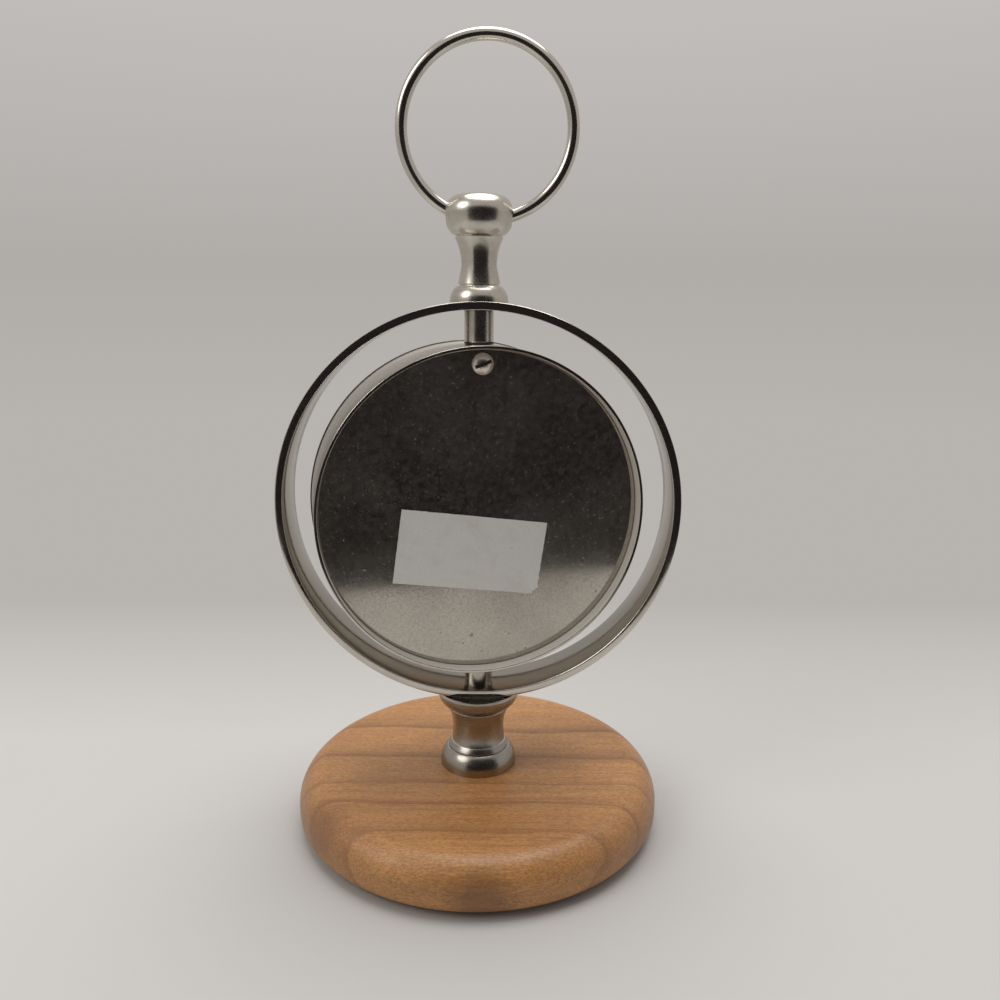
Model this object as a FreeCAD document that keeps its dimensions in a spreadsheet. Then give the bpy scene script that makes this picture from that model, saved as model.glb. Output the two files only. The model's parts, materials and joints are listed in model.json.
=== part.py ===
import FreeCAD, Part
import math
import operator
import os

import Sketcher
from FreeCAD import Vector

# Moon phase desk clock: a round clock drum that swivels inside a flat metal hoop, on a turned
# pedestal and a round wooden base, with a finial and a hinged ring on top.
#
# Frame: millimetres, +Z up, origin on the table under the middle of the base. The hoop, the
# pedestal and the finial share the Z axis, and the hoop's band is square to Y. The dial faces -Y,
# turned by dial_turn about Z. A piece of the drum is drawn as seen from the front of the dial:
# X to the right, Y up, and Z out of the dial, with its zero on the swivel axis ("depth").

SIZES = {
    # Clearances that fits and seats use
    "overrun": 2.0,
    "stud_clearance": 0.05,
    "arbor_clearance": 0.05,
    "bolt_clearance": 0.1,
    "loose_clearance": 0.3,
    "contact_gap": 0.1,
    "screw_end_gap": 0.8,
    # Felt pad and wooden base
    "felt_radius": 50.0,
    "felt_thickness": 1.5,
    "base_radius": 57.5,
    "base_thickness": 15.6,
    "base_top_round": 9.0,
    "base_bottom_edge": 2.6,
    # Bolt that holds the pedestal to the base
    "bolt_radius": 2.5,
    "bolt_head_radius": 4.4,
    "bolt_head_height": 3.2,
    "bolt_socket_width": 4.0,
    "bolt_socket_depth": 2.0,
    "bolt_reach": 12.0,
    "bolt_washer_radius": 6.0,
    "bolt_washer_thickness": 1.0,
    # Turned pedestal
    "pedestal_height": 26.1,
    "saddle_depth": 0.3,
    "foot_radius": 12.14,
    "foot_step": 0.8,
    "foot_top": 6.2,
    "foot_top_radius": 9.82,
    "foot_groove_radius": 9.25,
    "foot_groove_width": 0.4,
    "shoulder_radius": 9.6,
    "shoulder_top": 8.2,
    "shoulder_top_radius": 8.65,
    "neck_start_radius": 8.4,
    "neck_radius": 8.12,
    "neck_height": 13.1,
    "ridge_radius": 9.71,
    "ridge_height": 19.7,
    "ridge_width": 0.4,
    "cup_start_radius": 9.25,
    "cup_radius": 12.8,
    "disc_radius": 13.07,
    "disc_edge": 1.1,
    # Hoop
    "hoop_thickness": 2.3,
    "hoop_width": 17.5,
    # Swivel: one stud at the bottom and one at the top, each with a nut inside the case
    "stud_radius": 1.5,
    "stud_reach": 9.0,
    "post_radius": 4.25,
    "lower_gap": 6.6,
    "upper_gap": 9.8,
    "fibre_washer_thickness": 0.5,
    "nut_width": 5.5,
    "nut_height": 2.9,
    "nut_flange_radius": 3.4,
    "nut_flange_thickness": 0.5,
    "nut_seat_gap": 0.25,
    # Finial, by height over the top of the hoop
    "bead_radius": 8.43,
    "bead_top": 4.3,
    "bead_top_radius": 6.3,
    "bead_groove_radius": 5.75,
    "bead_groove_width": 0.5,
    "stem_foot_radius": 6.1,
    "stem_radius": 5.03,
    "stem_height": 9.7,
    "stem_top": 17.6,
    "stem_top_radius": 6.95,
    "knob_groove_radius": 6.4,
    "knob_bottom": 18.1,
    "knob_bottom_radius": 7.39,
    "knob_radius": 10.0,
    "knob_middle": 23.9,
    "knob_shoulder": 29.0,
    "knob_shoulder_radius": 5.8,
    "knob_top": 29.6,
    # Ring that hangs in the finial's cross hole
    "eye_radius": 3.55,
    "ring_radius": 23.8,
    "ring_wire_radius": 1.7,
    "ring_drop": 1.6,
    "ring_shift": 2.2,
    # Drum: case, ledges and back cover, by depth in front of the swivel axis
    "dial_turn": 12.4,
    "case_radius": 49.5,
    "case_wall": 0.9,
    "case_back": 9.4,
    "case_front": 18.6,
    "cover_recess": 4.0,
    "cover_thickness": 0.8,
    "cover_ledge_width": 5.1,
    "cover_ledge_thickness": 0.8,
    "dial_ledge_width": 1.8,
    "dial_ledge_thickness": 0.6,
    "lug_width": 8.0,
    "lug_below": 3.4,
    "lug_above": 2.2,
    "lug_thickness": 1.2,
    "screw_inset": 4.4,
    "screw_radius": 1.25,
    "screw_head_radius": 3.15,
    "screw_head_edge": 0.5,
    "screw_head_height": 2.0,
    "screw_slot_width": 1.0,
    "screw_slot_depth": 0.9,
    "screw_slot_turn": 21.0,
    "clip_width": 10.0,
    "clip_thickness": 0.6,
    "clip_length": 5.0,
    "clip_hook": 3.0,
    "label_width": 44.7,
    "label_height": 22.7,
    "label_thickness": 0.12,
    "label_corner": 1.6,
    "label_side": 3.5,
    "label_drop": 12.0,
    "label_turn": 8.0,
    # Bezel, glass, reflector ring and dial
    "bezel_overhang": 0.4,
    "bezel_front": 20.6,
    "bezel_edge": 0.7,
    "bezel_face_width": 4.4,
    "bezel_lip": 1.0,
    "bezel_skirt": 1.5,
    "glass_thickness": 1.6,
    "reflector_slope": 1.1,
    "dial_thickness": 0.6,
    "dial_seat": 14.7,
    "hump_radius": 6.4,
    "hump_side": 8.8,
    "window_margin": 2.1,
    "window_sill": 1.6,
    # Movement: a two-part housing with the cell below and the wheels above
    "movement_size": 56.0,
    "movement_corner": 3.0,
    "movement_wall": 1.4,
    "movement_back": 2.8,
    "movement_split": 5.0,
    "movement_front": 11.0,
    "partition_thickness": 1.0,
    "cell_radius": 7.1,
    "cell_length": 49.2,
    "cell_nub_radius": 2.7,
    "cell_nub_length": 1.0,
    "cell_drop": 19.6,
    "cell_depth": 3.2,
    "bay_end_wall": 1.0,
    "contact_width": 8.0,
    "contact_height": 10.0,
    "contact_thickness": 0.4,
    "bush_radius": 4.0,
    "bush_front": 13.1,
    "pivot_boss_radius": 2.0,
    "pivot_boss_height": 1.8,
    "shaft_nut_width": 10.0,
    "shaft_nut_height": 1.4,
    "module_width": 15.5,
    "module_length": 21.0,
    "module_depth": 7.6,
    "module_side": 9.8,
    "module_drop": 9.6,
    "coil_radius": 3.3,
    "coil_flange_radius": 4.4,
    "coil_flange_thickness": 1.0,
    "coil_length": 24.0,
    "coil_side": 21.4,
    "coil_rise": 8.0,
    "board_width": 15.5,
    "board_length": 11.0,
    "board_thickness": 0.8,
    "board_side": 9.8,
    "board_rise": 13.6,
    # Motion work: wheels and pinions that turn the hour hand once for twelve turns of the other
    "motion_module": 0.4,
    "minute_pinion_teeth": 12,
    "minute_wheel_teeth": 36,
    "hour_step_teeth": 10,
    "hour_wheel_teeth": 40,
    "minute_wheel_bearing": 135.0,
    "minute_pinion_back": 0.9,
    "minute_pinion_height": 2.0,
    "minute_wheel_back": 1.2,
    "minute_wheel_height": 1.2,
    "hour_wheel_back": 4.4,
    "hour_wheel_height": 1.2,
    "hour_step_height": 3.8,
    "wheel_shake": 0.2,
    # Moon train: three-day wheel and the fifty-nine day disc with its two moons
    "hour_pinion_teeth": 14,
    "moon_wheel_teeth": 84,
    "moon_module": 0.4,
    "moon_pinion_teeth": 6,
    "moon_disc_teeth": 118,
    "disc_module": 0.3,
    "moon_rise": 20.5,
    "moon_wheel_back": 13.2,
    "moon_wheel_height": 0.5,
    "moon_pinion_height": 0.8,
    "moon_disc_back": 14.0,
    "moon_disc_height": 0.4,
    "moon_plate_width": 60.0,
    "moon_plate_corner": 6.0,
    "moon_plate_thickness": 0.6,
    "moon_bush_radius": 1.8,
    "disc_stud_radius": 0.8,
    "disc_stud_shoulder": 1.25,
    "dial_foot_radius": 1.5,
    "dial_foot_side": 26.0,
    # Arbors and hands
    "minute_arbor_radius": 1.2,
    "minute_neck_radius": 0.9,
    "pivot_radius": 0.7,
    "hour_tube_radius": 2.1,
    "hour_hand_back": 15.8,
    "minute_hand_back": 16.5,
    "hand_thickness": 0.3,
    "arbor_front": 17.3,
    "hand_nut_radius": 1.9,
    "hand_nut_height": 0.8,
    "hour_hub_radius": 3.6,
    "hour_hand_length": 25.0,
    "hour_blade_root": 0.7,
    "hour_blade_round": 62.0,
    "minute_hub_radius": 2.9,
    "minute_hand_length": 37.0,
    "minute_blade_root": 0.6,
    "minute_blade_round": 150.0,
    "shown_minutes": 10.0,
    "shown_hours": 10.0,
    # Knob on the back of the movement that sets the hands
    "set_knob_radius": 4.0,
    "set_knob_gap": 0.2,
    "set_knob_height": 1.3,
    "set_knob_notches": 12,
    "set_knob_notch_width": 1.1,
    "set_knob_notch_depth": 0.5,
}

# Shapes of the teeth, as shares of their module: wheels have pointed gaps between flat-topped
# teeth, pinions have narrow leaves on deep roots.
WHEEL_ADDENDUM_SHARE = 1.0
WHEEL_GAP_DEPTH_SHARE = 2.1
WHEEL_GAP_SHARE = 2.5
PINION_ADDENDUM_SHARE = 0.65
PINION_DEDENDUM_SHARE = 1.3
PINION_ROOT_LEAF_SHARE = 0.75
PINION_TIP_LEAF_SHARE = 0.55
SKETCH_MARGIN_SHARE = 1.0

FULL_TURN = 360
HALF_TURN = 180
QUARTER_TURN = 90
SIDES_OF_HEXAGON = 6
HOURS_ON_DIAL = 12
MINUTES_IN_HOUR = 60


class Size:
    """A length or angle that knows its value and the formula that gives it from the sheet."""

    def __init__(self, value, formula):
        self.value = value
        self.formula = formula

    def __add__(self, other):
        return combined(operator.add, "+", self, other)

    def __radd__(self, other):
        return combined(operator.add, "+", other, self)

    def __sub__(self, other):
        return combined(operator.sub, "-", self, other)

    def __rsub__(self, other):
        return combined(operator.sub, "-", other, self)

    def __mul__(self, other):
        return combined(operator.mul, "*", self, other)

    def __rmul__(self, other):
        return combined(operator.mul, "*", other, self)

    def __truediv__(self, other):
        return combined(operator.truediv, "/", self, other)

    def __rtruediv__(self, other):
        return combined(operator.truediv, "/", other, self)

    def __neg__(self):
        return Size(-self.value, f"(-{self.formula})")


def value_of(number):
    return number.value if isinstance(number, Size) else number


def formula_of(number):
    return number.formula if isinstance(number, Size) else repr(number)


def combined(work, sign, first, second):
    value = work(value_of(first), value_of(second))
    return Size(value, f"({formula_of(first)} {sign} {formula_of(second)})")


def root_of(number):
    return Size(math.sqrt(number.value), f"sqrt({number.formula})")


def sine(angle):
    return Size(math.sin(math.radians(value_of(angle))), f"sin({formula_of(angle)})")


def cosine(angle):
    return Size(math.cos(math.radians(value_of(angle))), f"cos({formula_of(angle)})")


def bearing(across, up):
    """Angle in degrees of the way to a point, anticlockwise from the first axis."""
    value = math.degrees(math.atan2(value_of(up), value_of(across)))
    return Size(value, f"(atan2({formula_of(up)}; {formula_of(across)}) / 1 deg)")


def round_from_upright(small, large, rise):
    """Radius of an arc that starts upright and leans from one radius to the other in its rise."""
    lean = large - small
    return (lean * lean + rise * rise) / (2 * lean)


def cap_round(radius, rise):
    """Radius of the ball whose cap has this radius at its foot and this rise."""
    return (radius * radius + rise * rise) / (2 * rise)


document = FreeCAD.newDocument("moon_phase_clock")
sheet = document.addObject("Spreadsheet::Sheet", "Sheet")
for row, (name, number) in enumerate(SIZES.items(), start=1):
    sheet.set(f"A{row}", name)
    sheet.set(f"B{row}", str(number))
    sheet.setAlias(f"B{row}", name)
document.recompute()


class Sizes:
    """The sheet's values by name."""

    def __getattr__(self, name):
        return Size(SIZES[name], f"Sheet.{name}")


size = Sizes()
nodes = []


# Helpers for bodies, sketches and places

def new_body(label, is_node=True):
    body = document.addObject("PartDesign::Body", label)
    body.Label = label
    if is_node:
        nodes.append(body)
    return body


def new_sketch(body, name, role="XY_Plane", lift=None, turn=None):
    sketch = body.newObject("Sketcher::SketchObject", f"{body.Name}_{name}")
    plane = next(item for item in body.Origin.OriginFeatures if item.Role == role)
    sketch.AttachmentSupport = [(plane, "")]
    sketch.MapMode = "FlatFace"
    if lift is not None:
        sketch.setExpression("AttachmentOffset.Base.z", formula_of(lift))
    if turn is not None:
        sketch.setExpression("AttachmentOffset.Rotation.Angle", formula_of(turn))
    return sketch


def tie(sketch, kind, *where, to):
    """Adds a constraint whose value follows its formula in the sheet."""
    index = sketch.addConstraint(Sketcher.Constraint(kind, *where, float(value_of(to))))
    if isinstance(to, Size):
        sketch.setExpression(f"Constraints[{index}]", to.formula)


def tie_point(sketch, geometry, end, x, y):
    origin, horizontal, vertical = (-1, 1), -1, -2
    if value_of(x) == 0:
        sketch.addConstraint(Sketcher.Constraint("PointOnObject", geometry, end, vertical))
    else:
        tie(sketch, "DistanceX", *origin, geometry, end, to=x)
    if value_of(y) == 0:
        sketch.addConstraint(Sketcher.Constraint("PointOnObject", geometry, end, horizontal))
    else:
        tie(sketch, "DistanceY", *origin, geometry, end, to=y)


def swell(x, y, radius):
    """A point of an outline that is reached by an arc which bulges out of the shape."""
    return x, y, radius, 1


def cove(x, y, radius):
    """A point of an outline that is reached by an arc which hollows the shape."""
    return x, y, radius, -1


def draw_outline(sketch, points):
    """Draws a closed outline, anticlockwise, of straight lines and arcs."""
    count = len(points)
    corners = [Vector(value_of(point[0]), value_of(point[1]), 0) for point in points]
    ends = []
    for index, point in enumerate(points):
        start, end = corners[index - 1], corners[index]
        if len(point) == 2:
            geometry = sketch.addGeometry(Part.LineSegment(start, end))
            ends.append((geometry, 1, 2))
            continue
        radius, side = value_of(point[2]), point[3]
        chord = end - start
        outwards = Vector(chord.y, -chord.x, 0).normalize()
        sagitta = radius - math.sqrt(radius ** 2 - (chord.Length / 2) ** 2)
        middle = (start + end) / 2 + outwards * side * sagitta
        geometry = sketch.addGeometry(Part.Arc(start, middle, end))
        starts_here = (sketch.getPoint(geometry, 1) - start).Length < sagitta / 2
        ends.append((geometry, 1, 2) if starts_here else (geometry, 2, 1))
    for index in range(count):
        geometry, _, last = ends[index]
        following, first, _ = ends[(index + 1) % count]
        sketch.addConstraint(Sketcher.Constraint("Coincident", geometry, last, following, first))
        tie_point(sketch, geometry, last, points[index][0], points[index][1])
    for (geometry, _, _), point in zip(ends, points):
        if len(point) > 2:
            tie(sketch, "Radius", geometry, to=point[2])


def draw_circle(sketch, radius, x=0, y=0):
    centre = Vector(value_of(x), value_of(y), 0)
    circle = Part.Circle(centre, Vector(0, 0, 1), value_of(radius))
    geometry = sketch.addGeometry(circle)
    tie_point(sketch, geometry, 3, x, y)
    tie(sketch, "Radius", geometry, to=radius)


def draw_hexagon(sketch, width):
    """Draws a hexagon by its width across the flats."""
    corner = width / (2 * cosine(HALF_TURN / SIDES_OF_HEXAGON))
    step = FULL_TURN / SIDES_OF_HEXAGON
    draw_outline(sketch, [(corner * cosine(step * k), corner * sine(step * k))
                          for k in range(SIDES_OF_HEXAGON)])


def draw_box(sketch, left, right, bottom, top):
    draw_outline(sketch, [(left, bottom), (right, bottom), (right, top), (left, top)])


def turned(label, outline, is_node=True):
    """A body turned about its own Z from an outline of radius and height."""
    body = new_body(label, is_node)
    sketch = new_sketch(body, "section", "XZ_Plane")
    draw_outline(sketch, outline)
    turning = body.newObject("PartDesign::Revolution", f"{label}_turning")
    turning.Profile = sketch
    turning.ReferenceAxis = (sketch, ["V_Axis"])
    turning.Angle = FULL_TURN
    return body


def pad(body, sketch, height, symmetric=False, reverse=False):
    feature = body.newObject("PartDesign::Pad", f"{sketch.Name}_pad")
    feature.Profile = sketch
    feature.setExpression("Length", formula_of(height))
    feature.Midplane = symmetric
    feature.Reversed = reverse
    return feature


def pocket(body, sketch, depth=None, upwards=True, symmetric=False):
    """Cuts a sketch out of a body: right through both ways, or to a depth on one side of it."""
    feature = body.newObject("PartDesign::Pocket", f"{sketch.Name}_pocket")
    feature.Profile = sketch
    if depth is None:
        feature.Type = "ThroughAll"
        feature.Midplane = True
    else:
        feature.setExpression("Length", formula_of(depth))
        feature.Midplane = symmetric
        feature.Reversed = upwards
    return feature


def repeat_round(body, feature, sketch, count):
    pattern = body.newObject("PartDesign::PolarPattern", f"{feature.Name}_round")
    pattern.Originals = [feature]
    pattern.Axis = (sketch, ["N_Axis"])
    pattern.Angle = FULL_TURN
    pattern.setExpression("Occurrences", formula_of(count))
    body.Tip = pattern
    return pattern


def place(item, x=0, y=0, z=0, yaw=0, roll=0):
    """Puts a piece of the stand in its place."""
    x, y, z, yaw, roll = (formula_of(number) for number in (x, y, z, yaw, roll))
    item.setExpression("Placement", f"placement(vector({x}; {y}; {z}); rotation({yaw}; 0; {roll}))")


def place_on_drum(item, x=0, y=0, depth=0, spin=0, pitch=0, roll=0):
    """Puts a piece of the drum in its place, as seen from the front of the dial."""
    x, y, depth, spin, pitch, roll = (formula_of(number) for number in (x, y, depth, spin, pitch, roll))
    drum = f"placement(vector(0; 0; {drum_height.formula}); rotation(Sheet.dial_turn; 0; {QUARTER_TURN}))"
    own = f"placement(vector({x}; {y}; {depth}); rotation({spin}; {pitch}; {roll}))"
    item.setExpression("Placement", f"{drum} * {own}")


def group(label, members):
    """One node that holds several separate solids of the same kind."""
    compound = document.addObject("Part::Compound", label)
    compound.Label = label
    compound.Links = members
    nodes.append(compound)


def washer(label, outer, inner, thickness, is_node=True):
    outline = [(inner, 0), (outer, 0), (outer, thickness), (inner, thickness)]
    return turned(label, outline, is_node)


def hexagon_nut(label, width, bore, height, is_node=True):
    body = new_body(label, is_node)
    sketch = new_sketch(body, "section")
    draw_hexagon(sketch, width)
    draw_circle(sketch, bore)
    pad(body, sketch, height)
    return body


# Gear teeth

def tip_radius(count, module, is_pinion=False):
    share = PINION_ADDENDUM_SHARE if is_pinion else WHEEL_ADDENDUM_SHARE
    return count * module / 2 + share * module


def gap_outline(count, module, is_pinion):
    """Outline of one gap between teeth, with its middle on the first axis."""
    pitch = count * module / 2
    tip = tip_radius(count, module, is_pinion)
    outside = tip + SKETCH_MARGIN_SHARE * module
    if not is_pinion:
        half = WHEEL_GAP_SHARE * module / 2
        bottom = pitch - WHEEL_GAP_DEPTH_SHARE * module
        return [(bottom, 0), (tip, -half), (outside, -half), (outside, half), (tip, half)]
    bottom = pitch - PINION_DEDENDUM_SHARE * module
    step = 2 * math.pi / count
    half_bottom = (step * bottom - PINION_ROOT_LEAF_SHARE * module) / 2
    half = (step * tip - PINION_TIP_LEAF_SHARE * module) / 2
    return [
        (bottom, -half_bottom),
        (tip, -half),
        (outside, -half),
        (outside, half),
        (tip, half),
        (bottom, half_bottom),
    ]


def cut_teeth(body, name, count, module, bottom, height, phase, is_pinion=False):
    """Cuts the gaps between the teeth out of a round blank. The phase is one gap's bearing."""
    sketch = new_sketch(body, name, lift=bottom, turn=phase)
    draw_outline(sketch, gap_outline(count, module, is_pinion))
    repeat_round(body, pocket(body, sketch, height), sketch, count)


# Heights of the stand

wood_bottom = size.felt_thickness
wood_top = wood_bottom + size.base_thickness
hoop_bottom = wood_top + size.pedestal_height - size.saddle_depth
hoop_inner_radius = size.case_radius + (size.lower_gap + size.upper_gap) / 2
hoop_radius = hoop_inner_radius + size.hoop_thickness
hoop_height = hoop_bottom + hoop_radius
hoop_top = hoop_height + hoop_radius
drum_bottom = hoop_bottom + size.hoop_thickness + size.lower_gap
drum_height = drum_bottom + size.case_radius
drum_top = drum_height + size.case_radius
case_inner_radius = size.case_radius - size.case_wall
stud_hole_radius = size.stud_radius + size.stud_clearance


# Felt pad: the foot under the base
felt_pad = document.addObject("Part::Cylinder", "felt_pad")
felt_pad.setExpression("Radius", "Sheet.felt_radius")
felt_pad.setExpression("Height", "Sheet.felt_thickness")
nodes.append(felt_pad)


# Wooden base: a turned disc with a large round above, a bevel below and a bolt recess
recess_depth = size.bolt_head_height + size.bolt_washer_thickness + size.screw_end_gap
recess_radius = size.bolt_washer_radius + size.loose_clearance
bolt_hole_radius = size.bolt_radius + size.bolt_clearance
top_round, bottom_edge = size.base_top_round, size.base_bottom_edge
wood_base = turned("wood_base", [
    (recess_radius, 0),
    (size.base_radius - bottom_edge, 0),
    (size.base_radius, bottom_edge),
    (size.base_radius, size.base_thickness - top_round),
    swell(size.base_radius - top_round, size.base_thickness, top_round),
    (bolt_hole_radius, size.base_thickness),
    (bolt_hole_radius, recess_depth),
    (recess_radius, recess_depth),
])
place(wood_base, z=wood_bottom)


# Base bolt and washer: from under the base into the pedestal
bolt_length = size.bolt_washer_thickness + size.base_thickness - recess_depth + size.bolt_reach
base_bolt = turned("base_bolt", [
    (0, -size.bolt_head_height),
    (size.bolt_head_radius, -size.bolt_head_height),
    (size.bolt_head_radius, 0),
    (size.bolt_radius, 0),
    (size.bolt_radius, bolt_length),
    (0, bolt_length),
])
socket = new_sketch(base_bolt, "socket", lift=-size.bolt_head_height)
draw_hexagon(socket, size.bolt_socket_width)
pocket(base_bolt, socket, size.bolt_socket_depth)
bolt_seat = wood_bottom + recess_depth - size.bolt_washer_thickness
place(base_bolt, z=bolt_seat)
base_washer = washer("base_washer", size.bolt_washer_radius, bolt_hole_radius, size.bolt_washer_thickness)
place(base_washer, z=bolt_seat)


# Pedestal: foot bead, groove, shoulder bead, hollow neck, ridge, cup and a disc with a saddle
bolt_bore_depth = size.bolt_reach + size.screw_end_gap
stud_bore_bottom = size.pedestal_height - size.saddle_depth - size.stud_reach - size.screw_end_gap
groove_top = size.foot_top + size.foot_groove_width
ridge_top = size.ridge_height + size.ridge_width
disc_bottom = size.pedestal_height - size.disc_edge
pedestal = turned("pedestal", [
    (size.bolt_radius, 0),
    (size.foot_radius, 0),
    (size.foot_radius, size.foot_step),
    swell(size.foot_top_radius, size.foot_top,
          round_from_upright(size.foot_top_radius, size.foot_radius, size.foot_top - size.foot_step)),
    (size.foot_groove_radius, size.foot_top),
    (size.foot_groove_radius, groove_top),
    (size.shoulder_radius, groove_top),
    (size.shoulder_top_radius, size.shoulder_top),
    (size.neck_start_radius, size.shoulder_top),
    (size.neck_radius, size.neck_height),
    cove(size.ridge_radius, size.ridge_height,
         round_from_upright(size.neck_radius, size.ridge_radius, size.ridge_height - size.neck_height)),
    (size.ridge_radius, ridge_top),
    (size.cup_start_radius, ridge_top),
    swell(size.cup_radius, disc_bottom,
          round_from_upright(size.cup_start_radius, size.cup_radius, disc_bottom - ridge_top)),
    (size.disc_radius, disc_bottom),
    (size.disc_radius, size.pedestal_height),
    (size.stud_radius, size.pedestal_height),
    (size.stud_radius, stud_bore_bottom),
    (0, stud_bore_bottom),
    (0, bolt_bore_depth),
    (size.bolt_radius, bolt_bore_depth),
])
saddle = new_sketch(pedestal, "saddle", "XZ_Plane")
draw_circle(saddle, hoop_radius, y=size.pedestal_height - size.saddle_depth + hoop_radius)
pocket(pedestal, saddle)
place(pedestal, z=wood_top)


# Outer hoop: a flat band with a stud hole at its bottom and its top
outer_hoop = new_body("outer_hoop")
band = new_sketch(outer_hoop, "band", "XZ_Plane")
draw_circle(band, hoop_radius)
draw_circle(band, hoop_inner_radius)
pad(outer_hoop, band, size.hoop_width, symmetric=True)
stud_holes = new_sketch(outer_hoop, "stud_holes")
draw_circle(stud_holes, stud_hole_radius)
pocket(outer_hoop, stud_holes)
place(outer_hoop, z=hoop_height)


# Swivel: studs, spacers, fibre washers and flanged nuts at the bottom and the top of the drum
def threaded_rod(label, radius, length):
    return turned(label, [(0, 0), (radius, 0), (radius, length), (0, length)])


def coped_tube(label, height, hoop_side):
    """A spacer tube whose one end follows the inside of the hoop: 1 at its top, -1 at its foot."""
    inner, outer = stud_hole_radius, size.post_radius
    body = turned(label, [(inner, 0), (outer, 0), (outer, height), (inner, height)])
    seat = new_sketch(body, "seat", "XZ_Plane")
    hoop_centre = height - hoop_inner_radius if hoop_side > 0 else hoop_inner_radius
    draw_circle(seat, hoop_inner_radius, y=hoop_centre)
    draw_circle(seat, hoop_inner_radius + size.overrun, y=hoop_centre)
    pocket(body, seat)
    return body


nut_stack = size.nut_seat_gap + size.nut_height
lower_wall_inside = drum_bottom + size.case_wall
upper_wall_inside = drum_top - size.case_wall
lower_stud_bottom = hoop_bottom - size.stud_reach
lower_stud = threaded_rod("lower_stud", size.stud_radius,
                          lower_wall_inside + nut_stack + size.screw_end_gap - lower_stud_bottom)
place(lower_stud, z=lower_stud_bottom)
upper_stud_bottom = upper_wall_inside - nut_stack - size.screw_end_gap
upper_stud = threaded_rod("upper_stud", size.stud_radius, hoop_top + size.stud_reach - upper_stud_bottom)
place(upper_stud, z=upper_stud_bottom)

lower_spacer_height = size.lower_gap - size.fibre_washer_thickness - size.contact_gap
lower_spacer = coped_tube("lower_spacer", lower_spacer_height, -1)
place(lower_spacer, z=hoop_bottom + size.hoop_thickness)
top_post_height = size.upper_gap - size.fibre_washer_thickness - size.contact_gap
top_post = coped_tube("top_post", top_post_height, 1)
place(top_post, z=hoop_top - size.hoop_thickness - top_post_height)

lower_fibre_washer = washer("lower_fibre_washer", size.post_radius, stud_hole_radius,
                            size.fibre_washer_thickness, is_node=False)
place(lower_fibre_washer, z=drum_bottom - size.contact_gap - size.fibre_washer_thickness)
upper_fibre_washer = washer("upper_fibre_washer", size.post_radius, stud_hole_radius,
                            size.fibre_washer_thickness, is_node=False)
place(upper_fibre_washer, z=drum_top + size.contact_gap)
group("fibre_washers", [lower_fibre_washer, upper_fibre_washer])



def flanged_nut(label, flange_height, height):
    """A hexagon nut whose round flange is drawn at its own height."""
    nut = hexagon_nut(label, size.nut_width, size.stud_radius, size.nut_height, is_node=False)
    flange = new_sketch(nut, "flange", lift=flange_height)
    draw_circle(flange, size.nut_flange_radius)
    draw_circle(flange, size.stud_radius)
    pad(nut, flange, size.nut_flange_thickness)
    place(nut, z=height)
    return nut


lower_nut = flanged_nut("lower_nut", 0, lower_wall_inside + size.nut_seat_gap)
upper_nut = flanged_nut("upper_nut", size.nut_height - size.nut_flange_thickness,
                        upper_wall_inside - nut_stack)
group("pivot_nuts", [lower_nut, upper_nut])


# Finial: bead, groove, hollow stem and a flattened ball with a cross hole
finial_skirt = size.bead_radius * size.bead_radius / hoop_radius
bead_groove_top = size.bead_top + size.bead_groove_width
finial_bore_top = size.stud_reach + size.screw_end_gap
knob_lower_round = round_from_upright(size.knob_bottom_radius, size.knob_radius,
                                      size.knob_middle - size.knob_bottom)
knob_upper_round = round_from_upright(size.knob_shoulder_radius, size.knob_radius,
                                      size.knob_shoulder - size.knob_middle)
knob_crown = size.knob_top - size.knob_shoulder
crown_round = cap_round(size.knob_shoulder_radius, knob_crown)
finial = turned("finial", [
    (size.stud_radius, -finial_skirt),
    (size.bead_radius, -finial_skirt),
    (size.bead_radius, 0),
    swell(size.bead_top_radius, size.bead_top,
          round_from_upright(size.bead_top_radius, size.bead_radius, size.bead_top)),
    (size.bead_groove_radius, size.bead_top),
    (size.bead_groove_radius, bead_groove_top),
    (size.stem_foot_radius, bead_groove_top),
    (size.stem_radius, size.stem_height),
    cove(size.stem_top_radius, size.stem_top,
         round_from_upright(size.stem_radius, size.stem_top_radius, size.stem_top - size.stem_height)),
    (size.knob_groove_radius, size.stem_top),
    (size.knob_groove_radius, size.knob_bottom),
    (size.knob_bottom_radius, size.knob_bottom),
    swell(size.knob_radius, size.knob_middle, knob_lower_round),
    swell(size.knob_shoulder_radius, size.knob_shoulder, knob_upper_round),
    swell(0, size.knob_top, crown_round),
    (0, finial_bore_top),
    (size.stud_radius, finial_bore_top),
])
finial_seat = new_sketch(finial, "seat", "XZ_Plane")
draw_circle(finial_seat, hoop_radius, y=-hoop_radius)
pocket(finial, finial_seat)
eye = new_sketch(finial, "eye", "YZ_Plane")
draw_circle(eye, size.eye_radius, y=size.knob_middle)
pocket(finial, eye)
place(finial, z=hoop_top)


# Top ring: round wire through the cross hole, with its lowest point on the hole's floor
hinge_height = hoop_top + size.knob_middle
top_ring = document.addObject("Part::Torus", "top_ring")
top_ring.setExpression("Radius1", "Sheet.ring_radius")
top_ring.setExpression("Radius2", "Sheet.ring_wire_radius")
place(top_ring, x=-size.ring_shift, z=hinge_height - size.ring_drop + size.ring_radius, roll=QUARTER_TURN)
nodes.append(top_ring)


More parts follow.
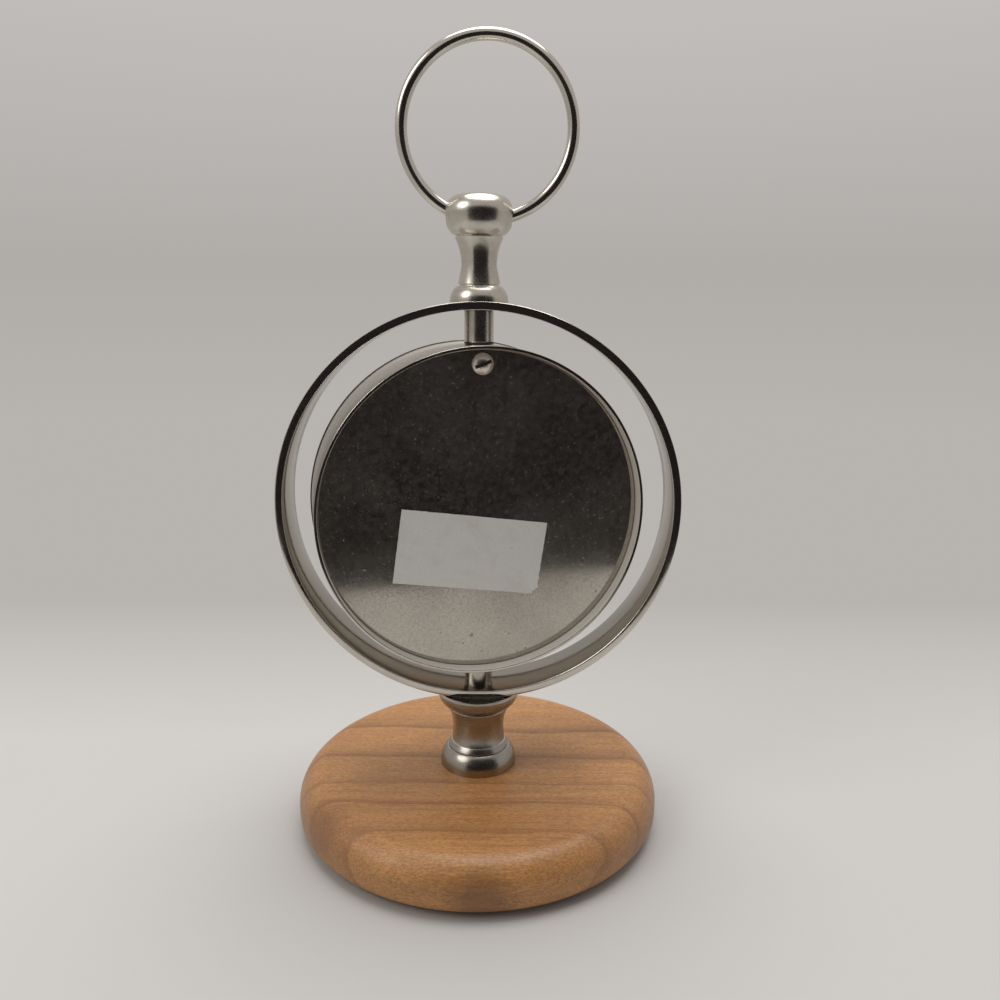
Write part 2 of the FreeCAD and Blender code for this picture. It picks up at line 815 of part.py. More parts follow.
# Depths of the drum
cover_back = size.cover_recess - size.case_back
cover_front = cover_back + size.cover_thickness
cover_radius = case_inner_radius - size.loose_clearance
dial_front = size.dial_seat + size.dial_thickness
skirt_outer = case_inner_radius - size.arbor_clearance
glass_radius = skirt_outer - size.bezel_skirt
glass_back = size.bezel_front - size.bezel_lip - size.glass_thickness
bezel_radius = size.case_radius + size.bezel_overhang
bezel_opening = bezel_radius - size.bezel_face_width
cover_ledge_radius = case_inner_radius - size.cover_ledge_width
dial_ledge_radius = case_inner_radius - size.dial_ledge_width
screw_height = case_inner_radius - size.screw_inset


# Drum case: a thin tube with a ledge for the back cover, one for the dial and a screw lug
drum_case = turned("drum_case", [
    (size.case_radius, -size.case_back),
    (size.case_radius, size.case_front),
    (case_inner_radius, size.case_front),
    (case_inner_radius, size.dial_seat),
    (dial_ledge_radius, size.dial_seat),
    (dial_ledge_radius, size.dial_seat - size.dial_ledge_thickness),
    (case_inner_radius, size.dial_seat - size.dial_ledge_thickness),
    (case_inner_radius, cover_front + size.cover_ledge_thickness),
    (cover_ledge_radius, cover_front + size.cover_ledge_thickness),
    (cover_ledge_radius, cover_front),
    (case_inner_radius, cover_front),
    (case_inner_radius, -size.case_back),
])
lug = new_sketch(drum_case, "lug", lift=cover_front)
draw_box(lug, -size.lug_width / 2, size.lug_width / 2,
         screw_height - size.lug_below, screw_height + size.lug_above)
pad(drum_case, lug, size.lug_thickness)
lug_hole = new_sketch(drum_case, "lug_hole", lift=cover_front)
draw_circle(lug_hole, size.screw_radius, y=screw_height)
pocket(drum_case, lug_hole, size.lug_thickness)
swivel_holes = new_sketch(drum_case, "swivel_holes", "XZ_Plane")
draw_circle(swivel_holes, stud_hole_radius)
pocket(drum_case, swivel_holes)
place_on_drum(drum_case)


# Back cover: a polished disc behind the ledge, with its screw, its clip and a bare paper label
back_cover = new_body("back_cover")
cover_disc = new_sketch(back_cover, "disc")
draw_circle(cover_disc, cover_radius)
draw_circle(cover_disc, size.screw_radius + size.bolt_clearance, y=screw_height)
pad(back_cover, cover_disc, size.cover_thickness)
place_on_drum(back_cover, depth=cover_back)

dome_rise = size.screw_head_height - size.screw_head_edge
dome_round = cap_round(size.screw_head_radius, dome_rise)
screw_length = size.cover_thickness + size.lug_thickness
cover_screw = turned("cover_screw", [
    (0, -size.screw_head_height),
    swell(size.screw_head_radius, -size.screw_head_edge, dome_round),
    (size.screw_head_radius, 0),
    (size.screw_radius, 0),
    (size.screw_radius, screw_length),
    (0, screw_length),
])
slot = new_sketch(cover_screw, "slot", lift=-size.screw_head_height, turn=-size.screw_slot_turn)
draw_box(slot, -size.screw_head_radius, size.screw_head_radius,
         -size.screw_slot_width / 2, size.screw_slot_width / 2)
pocket(cover_screw, slot, size.screw_slot_depth)
place_on_drum(cover_screw, y=screw_height, depth=cover_back)

clip_step = root_of(cover_ledge_radius * cover_ledge_radius - size.clip_width * size.clip_width / 4)
clip_bend = size.contact_gap - clip_step
hook_back = cover_front + size.cover_ledge_thickness + size.contact_gap
hook_front = hook_back + size.clip_thickness
cover_clip = new_body("cover_clip")
clip_side = new_sketch(cover_clip, "side", "YZ_Plane")
draw_outline(clip_side, [
    (clip_bend, cover_front),
    (clip_bend + size.clip_length, cover_front),
    (clip_bend + size.clip_length, cover_front + size.clip_thickness),
    (clip_bend + size.clip_thickness, cover_front + size.clip_thickness),
    (clip_bend + size.clip_thickness, hook_front),
    (clip_bend - size.clip_hook, hook_front),
    (clip_bend - size.clip_hook, hook_back),
    (clip_bend, hook_back),
])
pad(cover_clip, clip_side, size.clip_width, symmetric=True)
place_on_drum(cover_clip)

half_label, label_rise = size.label_width / 2, size.label_height / 2
paper_label = new_body("paper_label")
label_outline = new_sketch(paper_label, "outline")
draw_outline(label_outline, [
    (size.label_corner - half_label, -label_rise),
    (half_label, -label_rise),
    (half_label, label_rise),
    (-half_label, label_rise),
    (-half_label, size.label_corner - label_rise),
])
pad(paper_label, label_outline, size.label_thickness, reverse=True)
place_on_drum(paper_label, x=size.label_side, y=-size.label_drop, depth=cover_back, spin=size.label_turn)


# Bezel, glass and reflector ring
bezel = turned("bezel", [
    (skirt_outer, dial_front),
    (skirt_outer, size.case_front),
    (bezel_radius, size.case_front),
    (bezel_radius, size.bezel_front - size.bezel_edge),
    (bezel_radius - size.bezel_edge, size.bezel_front),
    (bezel_opening + size.bezel_edge, size.bezel_front),
    (bezel_opening, size.bezel_front - size.bezel_lip),
    (glass_radius, size.bezel_front - size.bezel_lip),
    (glass_radius, dial_front),
])
place_on_drum(bezel)

crystal = new_body("crystal")
pane = new_sketch(crystal, "pane")
draw_circle(pane, glass_radius - size.contact_gap)
pad(crystal, pane, size.glass_thickness)
place_on_drum(crystal, depth=glass_back)

reflector_ring = turned("reflector_ring", [
    (bezel_opening - size.reflector_slope, dial_front),
    (glass_radius - size.contact_gap, dial_front),
    (glass_radius - size.contact_gap, glass_back),
    (bezel_opening, glass_back),
])
place_on_drum(reflector_ring)


# Places of the wheels, from their teeth
hour_module = size.motion_module * (size.minute_pinion_teeth + size.minute_wheel_teeth) / (
    size.hour_step_teeth + size.hour_wheel_teeth)
motion_distance = size.motion_module * (size.minute_pinion_teeth + size.minute_wheel_teeth) / 2
moon_distance = size.moon_module * (size.hour_pinion_teeth + size.moon_wheel_teeth) / 2
disc_distance = size.disc_module * (size.moon_pinion_teeth + size.moon_disc_teeth) / 2
minute_wheel_x = motion_distance * cosine(size.minute_wheel_bearing)
minute_wheel_y = motion_distance * sine(size.minute_wheel_bearing)
moon_wheel_y = (moon_distance * moon_distance - disc_distance * disc_distance
                + size.moon_rise * size.moon_rise) / (2 * size.moon_rise)
moon_wheel_x = root_of(moon_distance * moon_distance - moon_wheel_y * moon_wheel_y)
moon_wheel_bearing = bearing(moon_wheel_x, moon_wheel_y)
disc_bearing = bearing(-moon_wheel_x, size.moon_rise - moon_wheel_y)
disc_tip_radius = tip_radius(size.moon_disc_teeth, size.disc_module)


# Dial: a disc with the arched moon window, whose two humps hide the moon at new moon
window_radius = disc_tip_radius - size.window_margin - size.disc_module
hump = size.hump_radius
hump_foot = size.hump_side - root_of(hump * hump - size.window_sill * size.window_sill)
dial = new_body("dial")
dial_disc = new_sketch(dial, "disc")
draw_circle(dial_disc, case_inner_radius - size.loose_clearance)
draw_circle(dial_disc, size.hour_tube_radius + size.loose_clearance)
pad(dial, dial_disc, size.dial_thickness)
window = new_sketch(dial, "window")
moon_middle = size.moon_rise
draw_outline(window, [
    (window_radius, moon_middle),
    swell(0, moon_middle + window_radius, window_radius),
    swell(-window_radius, moon_middle, window_radius),
    (-size.hump_side - hump, moon_middle),
    cove(-size.hump_side, moon_middle + hump, hump),
    cove(-hump_foot, moon_middle + size.window_sill, hump),
    (hump_foot, moon_middle + size.window_sill),
    cove(size.hump_side, moon_middle + hump, hump),
    cove(size.hump_side + hump, moon_middle, hump),
])
pocket(dial, window)
place_on_drum(dial, depth=size.dial_seat)


# Movement housing: a back and a front shell that meet at the split, with the cell in a bay below
half_size = size.movement_size / 2
inner_half = half_size - size.movement_wall
back_floor = size.movement_wall - size.movement_back
front_floor = size.movement_front - size.movement_wall
bay_half = half_size - size.bay_end_wall
bay_bottom = size.bay_end_wall - half_size
bay_top = size.cell_radius + size.loose_clearance - size.cell_drop
gear_room_bottom = bay_top + size.partition_thickness
pivot_hole_radius = size.pivot_radius + size.arbor_clearance


def draw_rounded_square(sketch, half, corner):
    near = half - corner
    draw_outline(sketch, [
        (near, -half),
        swell(half, -near, corner),
        (half, near),
        swell(near, half, corner),
        (-near, half),
        swell(-half, near, corner),
        (-half, -near),
        swell(-near, -half, corner),
    ])


movement_back = new_body("movement_back")
back_outline = new_sketch(movement_back, "outline", lift=-size.movement_back)
draw_rounded_square(back_outline, half_size, size.movement_corner)
pad(movement_back, back_outline, size.movement_split + size.movement_back)
back_room = new_sketch(movement_back, "gear_room", lift=back_floor)
draw_box(back_room, -inner_half, inner_half, gear_room_bottom, inner_half)
pocket(movement_back, back_room, size.movement_split - back_floor)
bay = new_sketch(movement_back, "bay")
draw_box(bay, -bay_half, bay_half, bay_bottom, bay_top)
pocket(movement_back, bay)
pivot_boss = new_sketch(movement_back, "pivot_boss", lift=back_floor)
draw_circle(pivot_boss, size.pivot_boss_radius)
pad(movement_back, pivot_boss, size.pivot_boss_height)
pivot_holes = new_sketch(movement_back, "pivot_holes")
draw_circle(pivot_holes, pivot_hole_radius)
draw_circle(pivot_holes, pivot_hole_radius, minute_wheel_x, minute_wheel_y)
pocket(movement_back, pivot_holes)
place_on_drum(movement_back)

bush_back = size.hour_wheel_back + size.hour_wheel_height + size.wheel_shake
minute_wheel_front = size.minute_wheel_back + size.minute_wheel_height + size.hour_step_height
front_boss_back = minute_wheel_front + size.wheel_shake
front_boss_height = front_floor - front_boss_back
movement_front = new_body("movement_front")
front_outline = new_sketch(movement_front, "outline", lift=size.movement_split)
draw_rounded_square(front_outline, half_size, size.movement_corner)
pad(movement_front, front_outline, size.movement_front - size.movement_split)
front_room = new_sketch(movement_front, "gear_room", lift=size.movement_split)
draw_box(front_room, -inner_half, inner_half, gear_room_bottom, inner_half)
pocket(movement_front, front_room, front_floor - size.movement_split)
cradle = new_sketch(movement_front, "cradle", "YZ_Plane")
draw_circle(cradle, size.cell_radius + size.loose_clearance / 2, -size.cell_drop, size.cell_depth)
pocket(movement_front, cradle, bay_half * 2, symmetric=True)
bush = new_sketch(movement_front, "bush", lift=bush_back)
draw_circle(bush, size.bush_radius)
pad(movement_front, bush, size.bush_front - bush_back)
front_boss = new_sketch(movement_front, "front_boss", lift=front_boss_back)
draw_circle(front_boss, size.pivot_boss_radius, minute_wheel_x, minute_wheel_y)
pad(movement_front, front_boss, front_boss_height)
bush_hole = new_sketch(movement_front, "bush_hole")
draw_circle(bush_hole, size.hour_tube_radius + size.arbor_clearance)
pocket(movement_front, bush_hole)
boss_hole = new_sketch(movement_front, "boss_hole", lift=front_boss_back)
draw_circle(boss_hole, pivot_hole_radius, minute_wheel_x, minute_wheel_y)
pocket(movement_front, boss_hole, front_boss_height)
place_on_drum(movement_front)

shaft_nut = hexagon_nut("shaft_nut", size.shaft_nut_width, size.bush_radius, size.shaft_nut_height)
place_on_drum(shaft_nut, depth=size.movement_front + size.moon_plate_thickness)


# Cell and its two contacts
cell_end = (size.cell_length + size.cell_nub_length) / 2
battery = turned("battery", [
    (0, 0),
    (size.cell_radius, 0),
    (size.cell_radius, size.cell_length),
    (size.cell_nub_radius, size.cell_length),
    (size.cell_nub_radius, size.cell_length + size.cell_nub_length),
    (0, size.cell_length + size.cell_nub_length),
])
place_on_drum(battery, x=-cell_end, y=-size.cell_drop, depth=size.cell_depth, pitch=QUARTER_TURN)


def battery_contact(label):
    """A flat strip with its middle bent out to a ridge that touches the cell."""
    ridge = bay_half - cell_end - size.contact_gap
    end = size.contact_height / 2
    bend = end / 2
    contact = new_body(label, is_node=False)
    strip = new_sketch(contact, "strip", "XZ_Plane")
    draw_outline(strip, [
        (-end, 0),
        (-bend, 0),
        (0, ridge - size.contact_thickness),
        (bend, 0),
        (end, 0),
        (end, size.contact_thickness),
        (bend, size.contact_thickness),
        (0, ridge),
        (-bend, size.contact_thickness),
        (-end, size.contact_thickness),
    ])
    pad(contact, strip, size.contact_width, symmetric=True)
    return contact


left_contact = battery_contact("left_contact")
place_on_drum(left_contact, -bay_half, -size.cell_drop, size.cell_depth, pitch=QUARTER_TURN)
right_contact = battery_contact("right_contact")
place_on_drum(right_contact, bay_half, -size.cell_drop, size.cell_depth, pitch=-QUARTER_TURN)
group("battery_contacts", [left_contact, right_contact])


# Electric parts on the back shell's floor: the closed motor module, its coil and the circuit board
motor_module = new_body("motor_module")
module_outline = new_sketch(motor_module, "outline", lift=back_floor)
draw_box(module_outline, size.module_side, size.module_side + size.module_width,
         -size.module_drop, size.module_length - size.module_drop)
pad(motor_module, module_outline, size.module_depth)
place_on_drum(motor_module)

motor_coil = turned("motor_coil", [
    (0, 0),
    (size.coil_flange_radius, 0),
    (size.coil_flange_radius, size.coil_flange_thickness),
    (size.coil_radius, size.coil_flange_thickness),
    (size.coil_radius, size.coil_length - size.coil_flange_thickness),
    (size.coil_flange_radius, size.coil_length - size.coil_flange_thickness),
    (size.coil_flange_radius, size.coil_length),
    (0, size.coil_length),
])
place_on_drum(motor_coil, -size.coil_side, size.coil_rise - size.coil_length / 2,
              back_floor + size.coil_flange_radius, roll=-QUARTER_TURN)

circuit_board = new_body("circuit_board")
board_outline = new_sketch(circuit_board, "outline", lift=back_floor)
draw_box(board_outline, size.board_side, size.board_side + size.board_width,
         size.board_rise, size.board_rise + size.board_length)
pad(circuit_board, board_outline, size.board_thickness)
place_on_drum(circuit_board)


# Motion work. A pair meshes where one has a tooth and the other a gap on the line of centres.
def tooth_at(direction, count):
    return direction - HALF_TURN / count


gap_to_centre = size.minute_wheel_bearing + HALF_TURN
boss_front = back_floor + size.pivot_boss_height + size.wheel_shake
pinion_tip = tip_radius(size.minute_pinion_teeth, size.motion_module, is_pinion=True)
pinion_front = size.minute_pinion_back + size.minute_pinion_height
minute_arbor = turned("minute_arbor", [
    (0, back_floor),
    (size.pivot_radius, back_floor),
    (size.pivot_radius, boss_front),
    (size.minute_arbor_radius, boss_front),
    (size.minute_arbor_radius, size.minute_pinion_back),
    (pinion_tip, size.minute_pinion_back),
    (pinion_tip, pinion_front),
    (size.minute_arbor_radius, pinion_front),
    (size.minute_arbor_radius, size.minute_hand_back),
    (size.minute_neck_radius, size.minute_hand_back),
    (size.minute_neck_radius, size.arbor_front),
    (0, size.arbor_front),
])
cut_teeth(minute_arbor, "leaves", size.minute_pinion_teeth, size.motion_module, size.minute_pinion_back,
          size.minute_pinion_height, tooth_at(size.minute_wheel_bearing, size.minute_pinion_teeth),
          is_pinion=True)
place_on_drum(minute_arbor)

minute_wheel_tip = tip_radius(size.minute_wheel_teeth, size.motion_module)
step_tip = tip_radius(size.hour_step_teeth, hour_module, is_pinion=True)
step_back = size.minute_wheel_back + size.minute_wheel_height
knob_back = -size.movement_back - size.set_knob_gap - size.set_knob_height
minute_wheel_end = knob_back + size.contact_gap
minute_wheel = turned("minute_wheel", [
    (0, minute_wheel_end),
    (size.pivot_radius, minute_wheel_end),
    (size.pivot_radius, size.minute_wheel_back),
    (minute_wheel_tip, size.minute_wheel_back),
    (minute_wheel_tip, step_back),
    (step_tip, step_back),
    (step_tip, minute_wheel_front),
    (size.pivot_radius, minute_wheel_front),
    (size.pivot_radius, front_floor - size.contact_gap),
    (0, front_floor - size.contact_gap),
])
cut_teeth(minute_wheel, "teeth", size.minute_wheel_teeth, size.motion_module, size.minute_wheel_back,
          size.minute_wheel_height, gap_to_centre)
cut_teeth(minute_wheel, "leaves", size.hour_step_teeth, hour_module, step_back,
          size.hour_step_height, gap_to_centre, is_pinion=True)
place_on_drum(minute_wheel, minute_wheel_x, minute_wheel_y)

hour_bore = size.minute_arbor_radius + size.arbor_clearance
hour_wheel_front = size.hour_wheel_back + size.hour_wheel_height
hour_wheel_tip = tip_radius(size.hour_wheel_teeth, hour_module)
hour_tube_front = size.hour_hand_back + size.hand_thickness
hour_wheel = turned("hour_wheel", [
    (hour_bore, size.hour_wheel_back),
    (hour_wheel_tip, size.hour_wheel_back),
    (hour_wheel_tip, hour_wheel_front),
    (size.hour_tube_radius, hour_wheel_front),
    (size.hour_tube_radius, hour_tube_front),
    (hour_bore, hour_tube_front),
])
cut_teeth(hour_wheel, "teeth", size.hour_wheel_teeth, hour_module, size.hour_wheel_back,
          size.hour_wheel_height, tooth_at(size.minute_wheel_bearing, size.hour_wheel_teeth))
place_on_drum(hour_wheel)

set_knob = new_body("set_knob")
knob_disc = new_sketch(set_knob, "disc")
draw_circle(knob_disc, size.set_knob_radius)
draw_circle(knob_disc, size.pivot_radius)
pad(set_knob, knob_disc, size.set_knob_height)
notch = new_sketch(set_knob, "notch")
draw_outline(notch, [
    (size.set_knob_radius - size.set_knob_notch_depth, 0),
    (size.set_knob_radius + size.set_knob_notch_depth, -size.set_knob_notch_width),
    (size.set_knob_radius + size.set_knob_notch_depth, size.set_knob_notch_width),
])
repeat_round(set_knob, pocket(set_knob, notch), notch, size.set_knob_notches)
place_on_drum(set_knob, minute_wheel_x, minute_wheel_y, knob_back)


# Moon train: pinion on the hour tube, three-day wheel and the toothed disc with the two moons
hour_pinion_tip = tip_radius(size.hour_pinion_teeth, size.moon_module, is_pinion=True)
hour_pinion = turned("hour_pinion", [
    (size.hour_tube_radius, 0),
    (hour_pinion_tip, 0),
    (hour_pinion_tip, size.moon_wheel_height),
    (size.hour_tube_radius, size.moon_wheel_height),
])
cut_teeth(hour_pinion, "leaves", size.hour_pinion_teeth, size.moon_module, 0, size.moon_wheel_height,
          tooth_at(moon_wheel_bearing, size.hour_pinion_teeth), is_pinion=True)
place_on_drum(hour_pinion, depth=size.moon_wheel_back)

moon_plate_front = size.movement_front + size.moon_plate_thickness
moon_wheel_tip = tip_radius(size.moon_wheel_teeth, size.moon_module)
moon_pinion_tip = tip_radius(size.moon_pinion_teeth, size.disc_module, is_pinion=True)
moon_wheel_front = size.moon_wheel_back + size.moon_wheel_height
moon_pinion_front = moon_wheel_front + size.moon_pinion_height
moon_arbor_back = size.movement_front + size.contact_gap
moon_wheel = turned("moon_wheel", [
    (0, moon_arbor_back),
    (size.pivot_radius, moon_arbor_back),
    (size.pivot_radius, size.moon_wheel_back),
    (moon_wheel_tip, size.moon_wheel_back),
    (moon_wheel_tip, moon_wheel_front),
    (moon_pinion_tip, moon_wheel_front),
    (moon_pinion_tip, moon_pinion_front),
    (0, moon_pinion_front),
])
cut_teeth(moon_wheel, "teeth", size.moon_wheel_teeth, size.moon_module, size.moon_wheel_back,
          size.moon_wheel_height, moon_wheel_bearing + HALF_TURN)
cut_teeth(moon_wheel, "leaves", size.moon_pinion_teeth, size.disc_module, moon_wheel_front,
          size.moon_pinion_height, tooth_at(disc_bearing, size.moon_pinion_teeth), is_pinion=True)
place_on_drum(moon_wheel, moon_wheel_x, moon_wheel_y)

moon_disc = new_body("moon_disc")
disc_outline = new_sketch(moon_disc, "outline")
draw_circle(disc_outline, disc_tip_radius)
draw_circle(disc_outline, size.disc_stud_radius + size.arbor_clearance)
pad(moon_disc, disc_outline, size.moon_disc_height)
cut_teeth(moon_disc, "teeth", size.moon_disc_teeth, size.disc_module, 0, size.moon_disc_height,
          disc_bearing + HALF_TURN)
place_on_drum(moon_disc, y=size.moon_rise, depth=size.moon_disc_back)

moon_wheel_bush = turned("moon_wheel_bush", [
    (pivot_hole_radius, size.movement_front),
    (size.moon_bush_radius, size.movement_front),
    (size.moon_bush_radius, size.moon_wheel_back - size.contact_gap),
    (pivot_hole_radius, size.moon_wheel_back - size.contact_gap),
])
place_on_drum(moon_wheel_bush, moon_wheel_x, moon_wheel_y)

stud_shoulder_front = size.moon_disc_back - size.contact_gap
stud_front = size.dial_seat - size.contact_gap
moon_disc_stud = turned("moon_disc_stud", [
    (0, size.movement_front),
    (size.disc_stud_radius, size.movement_front),
    (size.disc_stud_radius, moon_plate_front),
    (size.disc_stud_shoulder, moon_plate_front),
    (size.disc_stud_shoulder, stud_shoulder_front),
    (size.disc_stud_radius, stud_shoulder_front),
    (size.disc_stud_radius, stud_front),
    (0, stud_front),
])
place_on_drum(moon_disc_stud, y=size.moon_rise)


# Moon plate, and the two feet of the dial that are pressed into it
moon_plate = new_body("moon_plate")
plate_outline = new_sketch(moon_plate, "outline", lift=size.movement_front)
draw_rounded_square(plate_outline, size.moon_plate_width / 2, size.moon_plate_corner)
draw_circle(plate_outline, size.bush_radius + size.bolt_clearance)
draw_circle(plate_outline, size.moon_bush_radius, moon_wheel_x, moon_wheel_y)
draw_circle(plate_outline, size.disc_stud_radius, y=size.moon_rise)
draw_circle(plate_outline, size.dial_foot_radius, -size.dial_foot_side, size.dial_foot_side)
draw_circle(plate_outline, size.dial_foot_radius, size.dial_foot_side, -size.dial_foot_side)
pad(moon_plate, plate_outline, size.moon_plate_thickness)
place_on_drum(moon_plate)


def dial_foot(label, x, y):
    foot = turned(label, [
        (0, size.movement_front),
        (size.dial_foot_radius, size.movement_front),
        (size.dial_foot_radius, size.dial_seat),
        (0, size.dial_seat),
    ], is_node=False)
    place_on_drum(foot, x, y)
    return foot


group("dial_feet", [
    dial_foot("upper_dial_foot", -size.dial_foot_side, size.dial_foot_side),
    dial_foot("lower_dial_foot", size.dial_foot_side, -size.dial_foot_side),
])


# Hands: slim leaves on round hubs, and the nut that holds the longer one
def hand(label, hub, bore, length, blade_root, blade_round, turn, depth):
    body = new_body(label)
    blade = new_sketch(body, "blade")
    draw_outline(blade, [
        swell(-blade_root, 0, blade_round),
        (blade_root, 0),
        swell(0, length, blade_round),
    ])
    pad(body, blade, size.hand_thickness)
    disc = new_sketch(body, "hub")
    draw_circle(disc, hub)
    pad(body, disc, size.hand_thickness)
    hole = new_sketch(body, "bore")
    draw_circle(hole, bore)
    pocket(body, hole)
    place_on_drum(body, depth=depth, spin=-turn)


hour_turn = (size.shown_hours + size.shown_minutes / MINUTES_IN_HOUR) * (FULL_TURN / HOURS_ON_DIAL)
minute_turn = size.shown_minutes * (FULL_TURN / MINUTES_IN_HOUR)
hand("hour_hand", size.hour_hub_radius, size.hour_tube_radius, size.hour_hand_length,
     size.hour_blade_root, size.hour_blade_round, hour_turn, size.hour_hand_back)
hand("minute_hand", size.minute_hub_radius, size.minute_neck_radius, size.minute_hand_length,
     size.minute_blade_root, size.minute_blade_round, minute_turn, size.minute_hand_back)

nut_back = size.minute_hand_back + size.hand_thickness
hand_nut = turned("hand_nut", [
    (size.minute_neck_radius, 0),
    (size.hand_nut_radius, 0),
    (size.hand_nut_radius, size.hand_nut_height),
    (0, size.hand_nut_height),
    (0, size.arbor_front - nut_back),
    (size.minute_neck_radius, size.arbor_front - nut_back),
])
place_on_drum(hand_nut, depth=nut_back)


# Checks and files
document.recompute()
for item in document.Objects:
    if "Invalid" in item.State or "Error" in item.State:
        raise RuntimeError(f"{item.Name} failed: {item.State}")
for node in nodes:
    if node.Shape.isNull() or not node.Shape.isValid():
        raise RuntimeError(f"{node.Label} has no valid shape")

os.makedirs("parts", exist_ok=True)
for node in nodes:
    node.Shape.exportStep(f"parts/{node.Label}.step")
    print(f"{node.Label}: {len(node.Shape.Solids)} solids, {node.Shape.Volume:.1f} mm3")
print(f"{len(nodes)} nodes")
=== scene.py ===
# %% [markdown]
# # A moon phase desk clock, seen from behind
# A round clock drum swivels inside a flat nickel hoop. The hoop stands on a turned pedestal and a
# round wooden base, and carries a finial with a ring on top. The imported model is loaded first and
# stays as it is: every piece made here sits where that model says, in metres, with +Z up. It could
# be traced from a picture, but a fixed frame keeps every side of the object right.

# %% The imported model
import json
import math
import random
from functools import partial

import bmesh
import bpy
from mathutils import Matrix, Vector, noise


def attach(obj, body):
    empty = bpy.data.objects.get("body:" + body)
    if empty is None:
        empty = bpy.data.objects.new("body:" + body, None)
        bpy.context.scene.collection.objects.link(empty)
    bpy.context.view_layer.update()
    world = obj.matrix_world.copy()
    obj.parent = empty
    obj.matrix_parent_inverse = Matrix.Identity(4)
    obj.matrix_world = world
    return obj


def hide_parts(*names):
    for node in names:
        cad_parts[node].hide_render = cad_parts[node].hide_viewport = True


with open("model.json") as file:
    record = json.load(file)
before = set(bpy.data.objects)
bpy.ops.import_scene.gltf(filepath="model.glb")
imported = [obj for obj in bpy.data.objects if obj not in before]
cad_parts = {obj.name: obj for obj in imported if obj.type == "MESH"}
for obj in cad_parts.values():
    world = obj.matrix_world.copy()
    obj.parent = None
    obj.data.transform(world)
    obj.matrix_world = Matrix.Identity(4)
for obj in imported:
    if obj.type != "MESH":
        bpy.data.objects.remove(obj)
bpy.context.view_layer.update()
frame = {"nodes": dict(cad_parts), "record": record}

# %% [markdown]
# ## Places that the pieces share
# Shapes are drawn in millimetres, as a maker's drawing has them, and scaled to metres once, when a
# piece is finished. The drum has its own drawing frame: x to the right and y up as seen from the
# front of the dial, and z out of the dial. One matrix puts that frame into the room, so no piece of
# the drum is turned by hand.

# %% Places and the drum's own frame
MM = 0.001
FELT_THICKNESS = 1.5
BASE_TOP = 17.1
SWIVEL_HEIGHT = 101.3
HOOP_HEIGHT = 102.9
HOOP_RADIUS, HOOP_INSIDE = 60.0, 57.7
HOOP_TOP = HOOP_HEIGHT + HOOP_RADIUS
DIAL_TURN = math.radians(12.4)

# Heights along the drum's own axis, and how far the moon disc's middle is above that axis.
COVER_BACK, COVER_FRONT = -5.4, -4.6
DIAL_FACE, GLASS_BACK = 15.3, 18.0
MOON_RISE = 20.5


def moved(x, y, z):
    return Matrix.Translation((x, y, z))


def turned(degrees, axis):
    return Matrix.Rotation(math.radians(degrees), 4, axis)


drum_place = Matrix((
    (math.cos(DIAL_TURN), 0, math.sin(DIAL_TURN), 0),
    (math.sin(DIAL_TURN), 0, -math.cos(DIAL_TURN), 0),
    (0, 1, 0, SWIVEL_HEIGHT),
    (0, 0, 0, 1),
))
hoop_place = moved(0, 0, HOOP_HEIGHT) @ turned(90, "X")
print("dial faces", [round(part, 3) for part in drum_place.col[2][:3]])

# %% [markdown]
# ## Camera
# The picture was taken from behind the clock, a little above the drum, with a wide lens held close.
# The camera's place came from fitting the outlines of the base, the hoop and the ring. A longer lens
# further off would show less of the base's top, so the near place is kept.

# %% Camera behind the clock
def in_room(name, data):
    """Hangs a camera, a lamp, a curve or a mesh in the scene."""
    thing = bpy.data.objects.new(name, data)
    bpy.context.scene.collection.objects.link(thing)
    return thing


eye = bpy.data.cameras.new("eye")
eye.sensor_width = 36.0
eye.lens = 31.84
eye.shift_y = 0.0202
camera = in_room("camera", eye)
camera.matrix_world = (moved(-0.00478, 0.26239, 0.16371) @ turned(180 - 0.38, "Z")
                       @ turned(90 - 14.07, "X") @ turned(0.45, "Z"))
bpy.context.scene.camera = camera
bpy.context.scene.view_settings.view_transform = "Standard"
print("camera", [round(value, 3) for value in camera.matrix_world.translation])

# %% [markdown]
# ## Finishes are built from a few small helpers
# A finish is a node tree. Noise on Object coordinates gives each one its own cloudiness, grain and
# scratches, and the same pattern stays on the piece when it turns. Picture textures would be quicker
# but blur when seen close, so every finish is worked out by nodes.

# %% Helpers that add nodes
def add_node(tree, kind, sockets=None, **settings):
    node = tree.nodes.new("ShaderNode" + kind)
    for name, value in settings.items():
        setattr(node, name, value)
    for name, value in (sockets or {}).items():
        feed(tree, node.inputs[name], value)
    return node


def feed(tree, socket, value):
    if isinstance(value, bpy.types.NodeSocket):
        tree.links.new(value, socket)
    else:
        socket.default_value = value


def dress(material, **looks):
    """Sets fixed values on the Principled shader's sockets, and links what nodes worked out:
    base_color is the socket Base Color, and ior is IOR."""
    shader = material.node_tree.nodes["Principled BSDF"]
    for word, value in looks.items():
        socket = word.replace("_", " ").title().replace("Ior", "IOR")
        feed(material.node_tree, shader.inputs[socket], value)
    return material


print("finish helpers ready")

# %% Helpers for places and patterns
def object_place(tree, offset=(0, 0, 0), turn=0.0, scale=(1, 1, 1)):
    """Object coordinates, turned about Z and shifted, then stretched by scale."""
    where = add_node(tree, "TexCoord").outputs["Object"]
    shifted = add_node(tree, "Mapping", {
        "Vector": where, "Location": offset, "Rotation": (0, 0, turn)}).outputs[0]
    return add_node(tree, "Mapping", {"Vector": shifted, "Scale": scale}).outputs[0]


